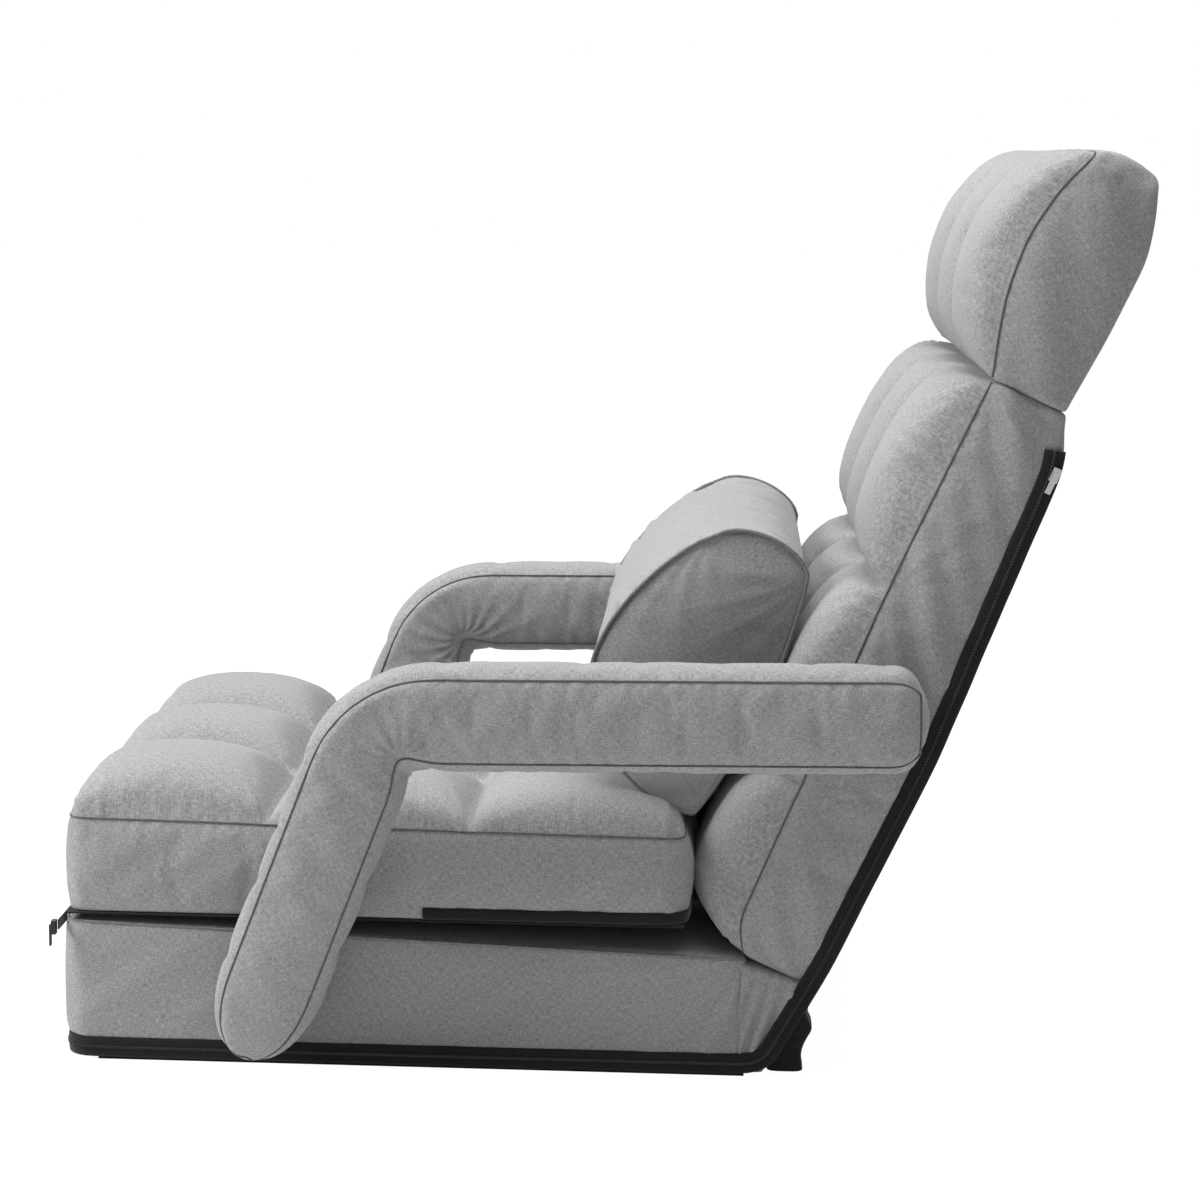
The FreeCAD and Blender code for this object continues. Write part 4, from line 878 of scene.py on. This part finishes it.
def waistCloth():
    # the grey side cloth that turns from the base up into the back
    tall, deep, wide = 26, 14, 60
    cells, quads, sides = boxGrid((tall, wide, deep))
    u, w, h = (cells / np.array([tall, wide, deep])).T
    corners = [np.array(waist[name]) for name in ("low", "high", "rearLow", "rearHigh")]
    front = corners[0] + (corners[1] - corners[0]) * u[:, None]
    rear = corners[2] + (corners[3] - corners[2]) * u[:, None]
    rear[:, 0] += waist["rearBow"] * np.sin(math.pi * u)
    section = front + (rear - front) * h[:, None]
    x = (w * 2 - 1) * waist["half"]
    flank = (cells[:, 1] == 0) | (cells[:, 1] == wide)
    folds = 1 - 1.8 * np.abs(np.sin(section[:, 0] * 175 - section[:, 1] * 70 + 2.5 * h)) ** 0.7
    fold = waist["fold"] * folds * np.sin(math.pi * u) ** 0.7
    bow = waist["sideCrown"] * (np.clip(4 * u * (1 - u), 0, 1)) ** 0.5
    x = x + np.where(flank, np.sign(x) * (bow + fold), 0)
    points = onFloor(x, section[:, 0], section[:, 1])
    weave = np.stack([u * 0.1 + w * 0.5, h * 0.06], axis=-1)[quads.ravel()]
    made = meshObject("waistCloth", points, quads, cloth, weave)
    halve(made, np.zeros(len(points)))
    return made


def waistLining():
    # slack black lining behind the waist, folded down to the floor
    tall, wide = 30, 90
    cells, quads, sides = boxGrid((tall, wide, 2))
    u, w, h = (cells / np.array([tall, wide, 2])).T
    half = waist["half"] - waist["liningInset"]
    x = (w * 2 - 1) * half
    lumps = wave(x, 60 * mm, 190 * mm, waist["seed"]) * np.sin(math.pi * w)
    fold = np.abs(np.sin(u * 7 + lumps * 0.6))
    inner = 340 * mm + 30 * mm * u
    outer = (
        waist["liningRear"]
        - 12 * mm * (1 - np.sin(math.pi * (u * 0.8 + 0.1)))
        - 7 * mm * fold
        - 3 * mm * lumps * u
    )
    y = inner + (np.maximum(outer, inner + 3 * mm) - inner) * h
    z = 2 * mm + waist["liningTop"] * u * (1 - 0.02 * lumps)
    weave = np.stack([u * 0.12, w * 0.54], axis=-1)[quads.ravel()]
    made = meshObject("waistLining", onFloor(x, y, z), quads, lining, weave)
    halve(made, np.zeros(len(cells)))
    return made


rearCover = {
    "half": halfWidth - 9 * mm,
    "split": 432 * mm,
    "low": 62 * mm,
    "high": 574 * mm,
    "clear": 1.2 * mm,
    "slack": 4.5 * mm,
    "tight": 1.5 * mm,
}


def rearSheet(name, low, high, slack, material, seed):
    # cloth that hangs slack behind the back's frame
    tall, wide = round((high - low) / (8 * mm)), 66
    cells, quads, sides = boxGrid((tall, wide, 1))
    u, w, h = (cells / np.array([tall, wide, 1])).T
    s, x = low + (high - low) * u, (w * 2 - 1) * rearCover["half"]
    sway = (
        wave(x + 0.25 * s, 90 * mm, 240 * mm, seed)
        * wave(s - 0.1 * x, 120 * mm, 300 * mm, seed + 1)
    )
    crease = 1 - 2 * np.abs(np.sin(x * 22 + s * 9 + sway * 0.8)) ** 0.7
    edge = np.clip(4 * u * (1 - u), 0, 1) ** 0.5 * np.clip(6 * w * (1 - w), 0, 1) ** 0.7
    lift = rearCover["clear"] + slack * edge * (1 + 0.35 * sway + 0.3 * crease)
    v = onLine(back["rearLine"], s) + np.maximum(lift, rearCover["clear"]) * h
    weave = np.stack([s, w * 2 * rearCover["half"]], axis=-1)[quads.ravel()]
    made = meshObject(name, onBack(x, v, s), quads, material, weave)
    halve(made, np.zeros(len(cells)))
    return made


rearSlack = rearSheet(
    "rearSlackCloth", rearCover["low"], rearCover["split"] + 4 * mm, rearCover["slack"], cloth, 81
)
rearBlack = rearSheet(
    "rearBlackPanel", rearCover["split"], rearCover["high"], rearCover["tight"], lining, 82
)
for made in (rearSlack, rearBlack):
    blendAlong(made, waistLine)
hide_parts("back_rear_panel")
waistSide, waistRear = waistCloth(), waistLining()
for made, slot in ((waistSide, "grey_cloth"), (waistRear, "black_lining")):
    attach(made, "base")
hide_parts("waist_fold")
print("waist done")

foot = Vector(joints["arm_foot_left"]["pos_m"])
elbow = Vector(joints["elbow_left"]["pos_m"])
reclineAxis = Vector((0, pivotY, pivotZ))
shoulder = elbow + (reclineAxis - foot)
arm = {
    "inner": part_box("upper_arm_cover_left")[0].x,
    "outer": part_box("upper_arm_cover_left")[1].x,
    "length": 860 * mm,
    "halfHeight": 47.5 * mm,
    "blendHalf": 70 * mm,
    "slackReach": 75 * mm,
    "endSwell": 7 * mm,
    "seamSink": 1.2 * mm,
    "gusset": 9 * mm,
    "face": 4 * mm,
    "bend": 78 * mm,
    "footEnd": 25 * mm,
    "rearEnd": 27 * mm,
    "footTaper": 75 * mm,
    "rearTaper": 26 * mm,
    "grid": 6 * mm,
    "tall": 14,
    "deep": 10,
    "pinch": 34 * mm,
    "pinchPull": 13 * mm,
    "pinchReach": 16 * mm,
    "fold": 3.0 * mm,
    "foldReach": 36 * mm,
    "gather": 0.5 * mm,
    "broad": 0.5 * mm,
    "seed": 51,
}


def armPath(count):
    # centre line from beyond the foot pivot, round the elbow, past the shoulder pivot
    low = (foot - elbow).normalized()
    high = (shoulder - elbow).normalized()
    turn = math.pi - low.angle(high)
    tangent = arm["bend"] * math.tan(turn / 2)
    start = foot + low * arm["footEnd"]
    end = shoulder + high * arm["rearEnd"]
    bendStart, bendEnd = elbow + low * tangent, elbow + high * tangent
    first, middle = (bendStart - start).length, arm["bend"] * turn
    total = first + middle + (end - bendEnd).length
    lengths = np.linspace(0, total, count)
    inward = (low + high).normalized()
    centre = elbow + inward * (arm["bend"] / math.cos(turn / 2))
    places, ways = [], []
    spoke = (bendStart - centre).normalized()
    for length in lengths:
        if length < first:
            places.append(start - low * length)
            ways.append(-low)
        elif length < first + middle:
            angle = (length - first) / arm["bend"]
            spin = Matrix.Rotation(-angle, 3, "X")
            places.append(centre + spin @ (spoke * arm["bend"]))
            ways.append(spin @ -low)
        else:
            places.append(bendEnd + high * (length - first - middle))
            ways.append(high)
    return np.array(places), np.array(ways), lengths, (first, first + middle)


def armSleeve(side, sign):
    count = round(arm["length"] / arm["grid"])
    places, ways, lengths, bend = armPath(count + 1)
    cells, quads, sides = boxGrid((count, arm["tall"], arm["deep"]))
    i = cells[:, 0]
    m = cells[:, 1] / arm["tall"] * 2 - 1
    w = cells[:, 2] / arm["deep"] * 2 - 1
    place, way, length = places[i], ways[i], lengths[i]
    outward = np.cross(np.array([1.0, 0, 0]), way)
    fromFoot, fromRear = length, lengths[-1] - length
    footShare = np.clip(1 - fromFoot / arm["footTaper"], 0, 1)
    rearShare = np.clip(1 - fromRear / arm["rearTaper"], 0, 1)
    tall = np.sqrt(1 - 0.93 * footShare**2.2) * (1 - 0.3 * rearShare**2.5)
    thick = (
        np.sqrt(1 - 0.6 * np.clip(1 - fromFoot / (40 * mm), 0, 1) ** 2)
        * np.sqrt(1 - 0.35 * rearShare**2)
    )
    seamHalf = arm["halfHeight"] - arm["gusset"]
    middleX = (arm["inner"] + arm["outer"]) / 2
    halfX = (arm["outer"] - arm["inner"]) / 2 - arm["face"]
    gussetBow = arm["gusset"] * np.sqrt(np.clip(1 - w**2, 0, 1))
    faceBow = arm["face"] * (1 - m**2) ** 0.6
    high = np.abs(cells[:, 1] - arm["tall"] / 2) == arm["tall"] / 2
    outerFace = (cells[:, 2] == 0) | (cells[:, 2] == arm["deep"])
    offset = m * seamHalf * tall + np.where(high, np.sign(m) * gussetBow * tall, 0)
    x = middleX + w * halfX * thick + np.where(outerFace, np.sign(w) * faceBow * thick, 0)
    ends = (i == 0) | (i == count)
    endSwell = arm["endSwell"] * (1 - m**2) * (1 - w**2)
    points = place + outward * offset[:, None]
    points = points + way * np.where(i == 0, -endSwell, np.where(i == count, endSwell, 0))[:, None]
    points[:, 0] = x * sign
    weave = panelWeave(quads, sides, length, (w + 1) * halfX, (m + 1) * seamHalf, 1)
    made = meshObject("armSleeve_" + side, points, quads, cloth, weave)
    seam = high & outerFace | ends & (high | outerFace)
    inBend = np.clip(1 - np.abs(length - sum(bend) / 2) / arm["slackReach"], 0, 1)
    inner = np.clip(0.4 - m * 0.7, 0, 1)
    slack = np.clip(inBend * inner, 0, 1)
    puff(made, seam.astype(float), slack, 0.2, 0.014, 14 * mm)
    shaped = getPoints(made)
    normals = getNormals(made)
    shaped[seam] -= normals[seam] * arm["seamSink"]
    setPoints(made, shaped)
    lines = []
    for tallEnd in (0, arm["tall"]):
        for deepEnd in (0, arm["deep"]):
            ids = np.flatnonzero((cells[:, 1] == tallEnd) & (cells[:, 2] == deepEnd))
            lines.append(ids[np.argsort(cells[ids, 0])])
    for deepEnd in (0, arm["deep"]):
        for end in (0, count):
            ids = np.flatnonzero((cells[:, 2] == deepEnd) & (cells[:, 0] == end))
            lines.append(ids[np.argsort(cells[ids, 1])])
    setGrid(made, length, m, w)
    halve(made, seam)
    elbowFolds(made, places, bend, lengths)
    piping = seamTubes("armSeam_" + side, made, lines, 1.0 * mm, seamShadeCloth)
    high = elbow + (shoulder - elbow).normalized() * arm["blendHalf"]
    for piece in (made, piping):
        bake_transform(piece)
    parts = ("lower_arm", "upper_arm")
    nodes = [f"{part}_{layer}_{side}" for part in parts for layer in ("cover", "foam")]
    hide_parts(*nodes)


def elbowFolds(made, places, bend, lengths):
    # the cloth is pinched at the elbow's inner side and folds fan out from there
    points, normals = getPoints(made), getNormals(made)
    length, m, w = getGrid(made)
    middle = sum(bend) / 2
    spot = np.array([np.interp(middle, lengths, places[:, n]) for n in range(3)])
    low, high = (np.array(foot - elbow), np.array(shoulder - elbow))
    inward = low / np.linalg.norm(low) + high / np.linalg.norm(high)
    inward /= np.linalg.norm(inward)
    pinch = spot + inward * arm["pinch"]
    p, q = points[:, 1] - pinch[1], points[:, 2] - pinch[2]
    far = np.hypot(p, q)
    pull = arm["pinchPull"] * np.exp(-((far / arm["pinchReach"]) ** 2))
    points[:, 1:] -= inward[1:] * pull[:, None]
    # the narrow faces stay smooth, because the cloth is too tight there to fold
    face = (1 - np.abs(m) ** 6) * np.clip((far - 7 * mm) / (12 * mm), 0, 1)
    folds = (
        radialFolds(p, q, [(0, 0)], arm["foldReach"], foldCounts["elbow"], arm["seed"])
        * arm["fold"]
    )
    seamLine = (
        wave(length, 11 * mm, 30 * mm, arm["seed"] + 1)
        * np.exp(-(1 - np.abs(m)) * 5)
        * np.clip((1 - np.abs(m)) * 8, 0, 1)
    )
    broad = (
        wave(length, 60 * mm, 160 * mm, arm["seed"] + 2)
        * wave(m * 40 * mm + w * 30 * mm, 50 * mm, 120 * mm, arm["seed"] + 3)
    )
    lift = folds * face + arm["gather"] * seamLine + arm["broad"] * broad * (1 - np.abs(m) ** 4)
    setPoints(made, points + normals * lift[:, None])


for side, sign in sideNames.items():
    armSleeve(side, sign)
print("arms done")

pillow = {
    "half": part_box("pillow_cover")[1].x - 6 * mm,
    "low": 138 * mm,
    "high": 386 * mm,
    "rear": -132 * mm,
    "topFront": (-222 * mm, 384 * mm),
    "rearCrown": 15 * mm,
    "frontCrown": 100 * mm,
    "topCrown": 18 * mm,
    "grid": 6.5 * mm,
    "tall": 36,
    "deep": 18,
    "girth": 300 * mm,
    "thick": 160 * mm,
    "fold": 2.6 * mm,
    "foldReach": 34 * mm,
    "endFold": 2.2 * mm,
    "endReach": 50 * mm,
    "piping": 2.0 * mm,
    "pipingRise": 0.8 * mm,
    "endBow": 8 * mm,
    "seed": 61,
}


def pillowShape():
    across, _ = stations([-pillow["half"], pillow["half"]], pillow["grid"])
    counts = (pillow["tall"], len(across) - 1, pillow["deep"])
    cells, quads, sides = boxGrid(counts)
    u, h = cells[:, 0] / counts[0], cells[:, 2] / counts[2]
    x = across[cells[:, 1]]
    tip = np.array([pillow["rear"], pillow["low"]])
    crest = np.array([pillow["rear"], pillow["high"]])
    frontTop = np.array(pillow["topFront"])
    frontLow = tip + np.array([-10 * mm, -2 * mm])
    rearLine = tip + (crest - tip) * u[:, None]
    rearLine[:, 0] += pillow["rearCrown"] * np.sin(math.pi * u) ** 0.8
    frontLine = frontLow + (frontTop - frontLow) * u[:, None]
    chord = (frontTop - frontLow) / np.linalg.norm(frontTop - frontLow)
    bulge = np.array([-chord[1], chord[0]])
    frontLine += bulge * (pillow["frontCrown"] * np.sin(math.pi * u**0.85) ** 0.75)[:, None]
    section = rearLine + (frontLine - rearLine) * h[:, None]
    top = cells[:, 0] == counts[0]
    section += (
        np.array([0, 1])
        * np.where(top, pillow["topCrown"] * (4 * h * (1 - h)) ** 0.7, 0)[:, None]
    )
    points = onBack(x, section[:, 0], section[:, 1])
    flank = (cells[:, 1] == 0) | (cells[:, 1] == counts[1])
    endBow = pillow["endBow"] * (4 * u * (1 - u)) ** 0.6 * (4 * h * (1 - h)) ** 0.6
    points[:, 0] += np.where(flank, np.sign(x) * endBow, 0)
    weave = panelWeave(quads, sides, u * pillow["girth"], x, h * pillow["thick"])
    made = meshObject("lumbarPillow", points, quads, cloth, weave)
    ends = (cells[:, 0] == 0) | (cells[:, 0] == counts[0])
    rim = flank & (ends | (cells[:, 2] == 0) | (cells[:, 2] == counts[2]))
    topSeam = top & (cells[:, 2] == counts[2]) | top & (cells[:, 2] == 0)
    seam = rim | topSeam
    held = np.where(rim | (cells[:, 2] == 0), 1.0, 0.0)
    slack = np.where(np.abs(x) > pillow["half"] - pillow["endReach"], 1.0, 0.4)
    puff(made, held, slack, 0.045, 0.01, 12 * mm)
    shaped, normals = getPoints(made), getNormals(made)
    shaped[rim] += normals[rim] * 0.5 * mm
    setPoints(made, shaped)
    rings = []
    for end in (0, counts[1]):
        here = cells[:, 1] == end
        parts = [
            (here & (cells[:, 2] == 0), cells[:, 0], 1),
            (here & (cells[:, 0] == counts[0]), cells[:, 2], 1),
            (here & (cells[:, 2] == counts[2]), cells[:, 0], -1),
            (here & (cells[:, 0] == 0), cells[:, 2], -1),
        ]
        line = []
        for mask, key, way in parts:
            ids = np.flatnonzero(mask)
            line += list(ids[np.argsort(key[ids] * way)])[:-1]
        rings.append(np.array(line))
    setGrid(made, u, x, h)
    halve(made, seam)
    points, normals = getPoints(made), getNormals(made)
    newU, newX, newH = getGrid(made)
    fromEnd = pillow["half"] - np.abs(newX)
    around = newU * pillow["girth"] + np.sign(newX)
    folds = wave(around, 13 * mm, 34 * mm, pillow["seed"]) * np.exp(-fromEnd / pillow["foldReach"])
    folds *= np.clip(fromEnd / (4 * mm), 0, 1) * (newH > 0.99)
    onEnd = (fromEnd < 2 * mm) & (newH > 0.01) & (newH < 0.99)
    girth, thick = pillow["girth"], pillow["thick"]
    spots = [(0.0, 0.0), (girth, 0.0), (girth, thick)]
    endFolds = radialFolds(
        newU * girth,
        newH * thick,
        spots,
        pillow["endReach"],
        foldCounts["pillow"],
        pillow["seed"] + 1,
    )
    edge = (
        np.clip(np.minimum(newU, 1 - newU) * 12, 0, 1)
        * np.clip(np.minimum(newH, 1 - newH) * 10, 0, 1)
    )
    lift = folds * pillow["fold"] + np.where(onEnd, endFolds * edge * pillow["endFold"], 0)
    points += normals * lift[:, None]
    setPoints(made, points)
    normals = getNormals(made)
    raised = points + normals * pillow["pipingRise"]
    # the piping's darker cloth is painted shade
    tubes = [tubeMesh("ring", raised[ids], pillow["piping"], pipingShadeCloth, 8, True) for ids in rings]
    return made, joined("pillowPiping", tubes)


lumbarPillow, pillowPiping = pillowShape()
for made in (lumbarPillow, pillowPiping):
    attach(made, "pillow")
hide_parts("pillow_cover", "pillow_filling")
print("pillow done")


def treeOf(*objects):
    points, faces = [], []
    for obj in objects:
        shift = len(points)
        points += [obj.matrix_world @ v.co for v in obj.data.vertices]
        faces += [[shift + v for v in p.vertices] for p in obj.data.polygons]
    return BVHTree.FromPolygons(points, faces)


def distances(path):
    return np.concatenate([[0], np.cumsum(np.linalg.norm(np.diff(path, axis=0), axis=1))])


def sampled(values, steps, spots):
    return np.stack([np.interp(spots, steps, values[:, n]) for n in range(3)], axis=-1)


def bothSides(half, out, step):
    # a path and its outward ways, carried on over the mirrored side, one step apart
    mirror = np.array([-1, 1, 1])
    path = np.concatenate([half, (half * mirror)[::-1]])
    outward = np.concatenate([out, (out * mirror)[::-1]])
    steps = distances(path)
    spots = np.linspace(0, steps[-1], max(4, round(steps[-1] / step)))
    return sampled(path, steps, spots), sampled(outward, steps, spots)


def ribbon(name, path, outward, tree, width, thickness, material, cells=4):
    # a band that lies on the cushions along a path, found by casting from outside
    path, castFrom = smoothPath(path, 2), 40 * mm
    ahead = np.gradient(path, axis=0)
    outward = outward / np.linalg.norm(outward, axis=1, keepdims=True)
    across = np.cross(outward, ahead)
    across /= np.linalg.norm(across, axis=1, keepdims=True)
    depth = np.full((len(path), cells + 1), np.nan)
    shares = np.linspace(-0.5, 0.5, cells + 1)
    for n, (place, way, out) in enumerate(zip(path, across, outward)):
        for k, share in enumerate(shares):
            spot = Vector(place + way * width * share + out * castFrom)
            hit = tree.ray_cast(spot, Vector(-out), castFrom + 30 * mm)
            depth[n, k] = castFrom - hit[3] if hit[0] else np.nan
    rowKnown = ~np.isnan(depth).all(axis=1)
    level = np.full(len(path), 0.0)
    level[rowKnown] = np.nanmax(depth[rowKnown], axis=1)
    level = np.interp(np.arange(len(path)), np.flatnonzero(rowKnown), level[rowKnown])
    level = np.convolve(np.pad(level, 2, "edge"), np.ones(5) / 5, "valid")
    grid = path[:, None, :] + across[:, None, :] * (width * shares)[None, :, None]
    bow = thickness * (1 - (2 * shares) ** 2)
    outerSkin = grid + outward[:, None, :] * (level[:, None] + bow[None, :] + thickness)[..., None]
    innerSkin = grid + outward[:, None, :] * (level - 2.5 * thickness)[:, None, None]
    rows, columns = grid.shape[:2]
    points = np.concatenate([outerSkin.reshape(-1, 3), innerSkin.reshape(-1, 3)])
    shift = rows * columns
    faces = []
    for n in range(rows - 1):
        for k in range(columns - 1):
            a = n * columns + k
            faces.append((a, a + 1, a + columns + 1, a + columns))
            faces.append(tuple(shift + v for v in (a, a + columns, a + columns + 1, a + 1)))
        for k in (0, columns - 1):
            a = n * columns + k
            faces.append((a, a + columns, shift + a + columns, shift + a))
    for n in (0, rows - 1):
        for k in range(columns - 1):
            a = n * columns + k
            faces.append((a, a + 1, shift + a + 1, shift + a))
    made = meshObject(name, points, faces, material)
    return made, outerSkin[:, columns // 2], across, outward


def teethRow(name, path, across, outward, pitch, size):
    # closed zip teeth, one block each, along a path
    steps = distances(path)
    spots = np.arange(pitch / 2, steps[-1], pitch)
    places, sides, lifts = (sampled(v, steps, spots) for v in (path, across, outward))
    ahead = np.gradient(places, axis=0)
    ahead /= np.linalg.norm(ahead, axis=1, keepdims=True)
    points, faces = [], []
    cube = np.array([[a, b, c] for a in (-1, 1) for b in (-1, 1) for c in (-1, 1)])
    cubeFaces = ((0, 1, 3, 2), (4, 6, 7, 5), (0, 4, 5, 1), (2, 3, 7, 6), (0, 2, 6, 4), (1, 5, 7, 3))
    for n, (place, way, side, lift) in enumerate(zip(places, ahead, sides, lifts)):
        half = np.array(size) / 2
        lean = 0.25 * pitch * (1 if n % 2 else -1)
        block = place + np.outer(cube[:, 0] * half[0] + cube[:, 1] * lean, way)
        block += np.outer(cube[:, 1] * half[1], side) + np.outer(cube[:, 2] * half[2], lift)
        faces += [tuple(n * 8 + v for v in face) for face in cubeFaces]
        points.append(block)
    return meshObject(name, np.concatenate(points), faces, finishes["black_zip"])


band = {
    "width": 19 * mm,
    "thickness": 0.9 * mm,
    "step": 7 * mm,
    "height": 12.5 * mm,
    "corner": 26 * mm,
    "inset": 9.5 * mm,
    "top": 588 * mm,
    "foot": -14 * mm,
    "pull": 7 * mm,
    "pullReach": 70 * mm,
    "turn": ((341 * mm, 22 * mm), (334 * mm, 15.5 * mm), (324 * mm, 13 * mm)),
    "flatRear": 305 * mm,
    "teeth": (1.0 * mm, 2.6 * mm, 1.0 * mm),
    "pitch": 1.6 * mm,
}


def cornerOutline(front, half, radius, height, rear):
    # the base's outline on one side: from the rear, forward and round the front corner
    angles = np.linspace(0, math.pi / 2, 8)
    points = [(half, rear), (half, front + radius)]
    for n in angles:
        points.append((half - radius + radius * math.cos(n), front + radius - radius * math.sin(n)))
    ways = [(1, 0), (1, 0)] + [(math.cos(n), -math.sin(n)) for n in angles]
    return np.array([(x, y, height) for x, y in points]), np.array([(x, y, 0) for x, y in ways])


def bandPath():
    # down one side of the back, forward round the base and up the other side
    s = np.linspace(band["top"], band["foot"], 90)
    v = onLine(back["rearLine"], s) - band["inset"]
    v = v - band["pull"] * np.clip(1 - (s - band["foot"]) / band["pullReach"], 0, 1)
    down = onBack(halfWidth, v, s)
    turn = onFloor(halfWidth, *np.array(band["turn"]).T)
    side, ways = cornerOutline(
        base["rows"][0], halfWidth, band["corner"], band["height"], band["flatRear"]
    )
    half = np.concatenate([down, turn, side])
    out = np.concatenate([np.tile([1.0, 0, 0], (len(down) + len(turn), 1)), ways])
    return bothSides(half, out, band["step"])


coverTree = treeOf(baseCushion, waistSide, backCushion)
path, outward = bandPath()
zipBand, line, across, out = ribbon(
    "zipBand", path, outward, coverTree, band["width"], band["thickness"], tapeCloth, 6
)
zipTeeth = teethRow("zipTeeth", line + out * 0.2 * mm, across, out, band["pitch"], band["teeth"])
for made in (zipBand, zipTeeth):
    blendAlong(made, waistLine)
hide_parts("base_zip_bands", "back_zip_bands")

padBand = {"start": 20 * mm, "width": 11 * mm, "height": 7 * mm, "corner": 14 * mm}


def padBandPath():
    # along the rear half of the pad's foot, round its rear
    low, rear = pad["foot"] + padBand["height"], pad["rear"]
    mirrored, ways = cornerOutline(-rear, pad["half"], padBand["corner"], low, -padBand["start"])
    turned = np.array([1, -1, 1])
    return bothSides(mirrored * turned, ways * turned, band["step"])


path, outward = padBandPath()
padZip, line, across, out = ribbon(
    "padZipBand", path, outward, treeOf(seatPad), padBand["width"], band["thickness"], tapeCloth
)
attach(padZip, "seat_pad")
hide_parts("seat_pad_zip_bands")
print("bands done")

camera = {
    "place": (2.825, 0.287, 0.847),
    "lens": 85.68,
    "yaw": 2.4,
    "pitch": 8.95,
    "roll": 0.8,
}
studio = {
    "floor": 40.0,
    "floorShare": 0.86,
    "floorGlow": 1.14,
    "world": 0.16,
    "key": 95.0,
    "top": 105.0,
    "fill": 3.0,
}


def aimCamera():
    yaw, pitch, roll = (math.radians(camera[n]) for n in ("yaw", "pitch", "roll"))
    look = Vector(
        (-math.cos(yaw) * math.cos(pitch), -math.sin(yaw) * math.cos(pitch), -math.sin(pitch))
    )
    right = look.cross(Vector((0, 0, 1))).normalized()
    above = right.cross(look)
    turnedRight = right * math.cos(roll) + above * math.sin(roll)
    turnedUp = above * math.cos(roll) - right * math.sin(roll)
    data = bpy.data.cameras.new("camera")
    data.lens = camera["lens"]
    data.sensor_width = 36
    made = bpy.data.objects.new("camera", data)
    made.matrix_world = Matrix.Translation(camera["place"]) @ Matrix(
        (turnedRight, turnedUp, -look)
    ).transposed().to_4x4()
    bpy.context.scene.collection.objects.link(made)
    bpy.context.scene.camera = made


def softLight(name, place, target, size, power):
    data = bpy.data.lights.new(name, "AREA")
    data.shape = "DISK"
    data.size = size
    data.energy = power
    made = bpy.data.objects.new(name, data)
    made.location = place
    made.rotation_euler = (Vector(target) - Vector(place)).to_track_quat("-Z", "Y").to_euler()
    bpy.context.scene.collection.objects.link(made)


def seenDirectly(tree):
    # 1 for what the camera, a gloss or a glass sees directly
    node = tree.nodes.new("ShaderNodeLightPath")
    rays = ("Is Camera Ray", "Is Glossy Ray", "Is Transmission Ray")
    seen = [Wire(tree, node.outputs[ray]) for ray in rays]
    total = seen[0] + seen[1] + seen[2]
    return total.calc("MINIMUM", total, 1.0)


def makeStage():
    half = studio["floor"] / 2
    floor = meshObject(
        "studioFloor",
        [(-half, -half, 0), (half, -half, 0), (half, half, 0), (-half, half, 0)],
        [(0, 1, 2, 3)],
        None,
    )
    finish = Finish("studio floor", Roughness=1.0, Base_Color=grey(0.9), Specular_IOR_Level=0.0)
    glow = finish.tree.nodes.new("ShaderNodeEmission")
    mix = finish.tree.nodes.new("ShaderNodeMixShader")
    glow.inputs[1].default_value = studio["floorGlow"]
    finish.tree.links.new((seenDirectly(finish.tree) * studio["floorShare"]).socket, mix.inputs[0])
    finish.tree.links.new(finish.shader.outputs[0], mix.inputs[1])
    finish.tree.links.new(glow.outputs[0], mix.inputs[2])
    finish.tree.links.new(mix.outputs[0], finish.tree.nodes["Material Output"].inputs[0])
    floor.data.materials[0] = finish.material
    world = bpy.data.worlds.new("studio")
    bpy.context.scene.world = world
    world.use_nodes = True
    tree = world.node_tree
    strength = seenDirectly(tree) * (1 - studio["world"]) + studio["world"]
    tree.nodes["Background"].inputs[0].default_value = grey(1.0)
    tree.links.new(strength.socket, tree.nodes["Background"].inputs[1])


aimCamera()
makeStage()
softLight("key", (0.75, -2.4, 2.2), (0, 0.1, 0.3), 1.6, studio["key"])
softLight("top", (-0.2, 0.3, 3.2), (0, 0.1, 0.2), 2.6, studio["top"])
softLight("fill", (3.2, 0.8, 1.2), (0, 0.1, 0.3), 2.0, studio["fill"])
bpy.context.scene.view_settings.view_transform = "Standard"
print("studio ready")
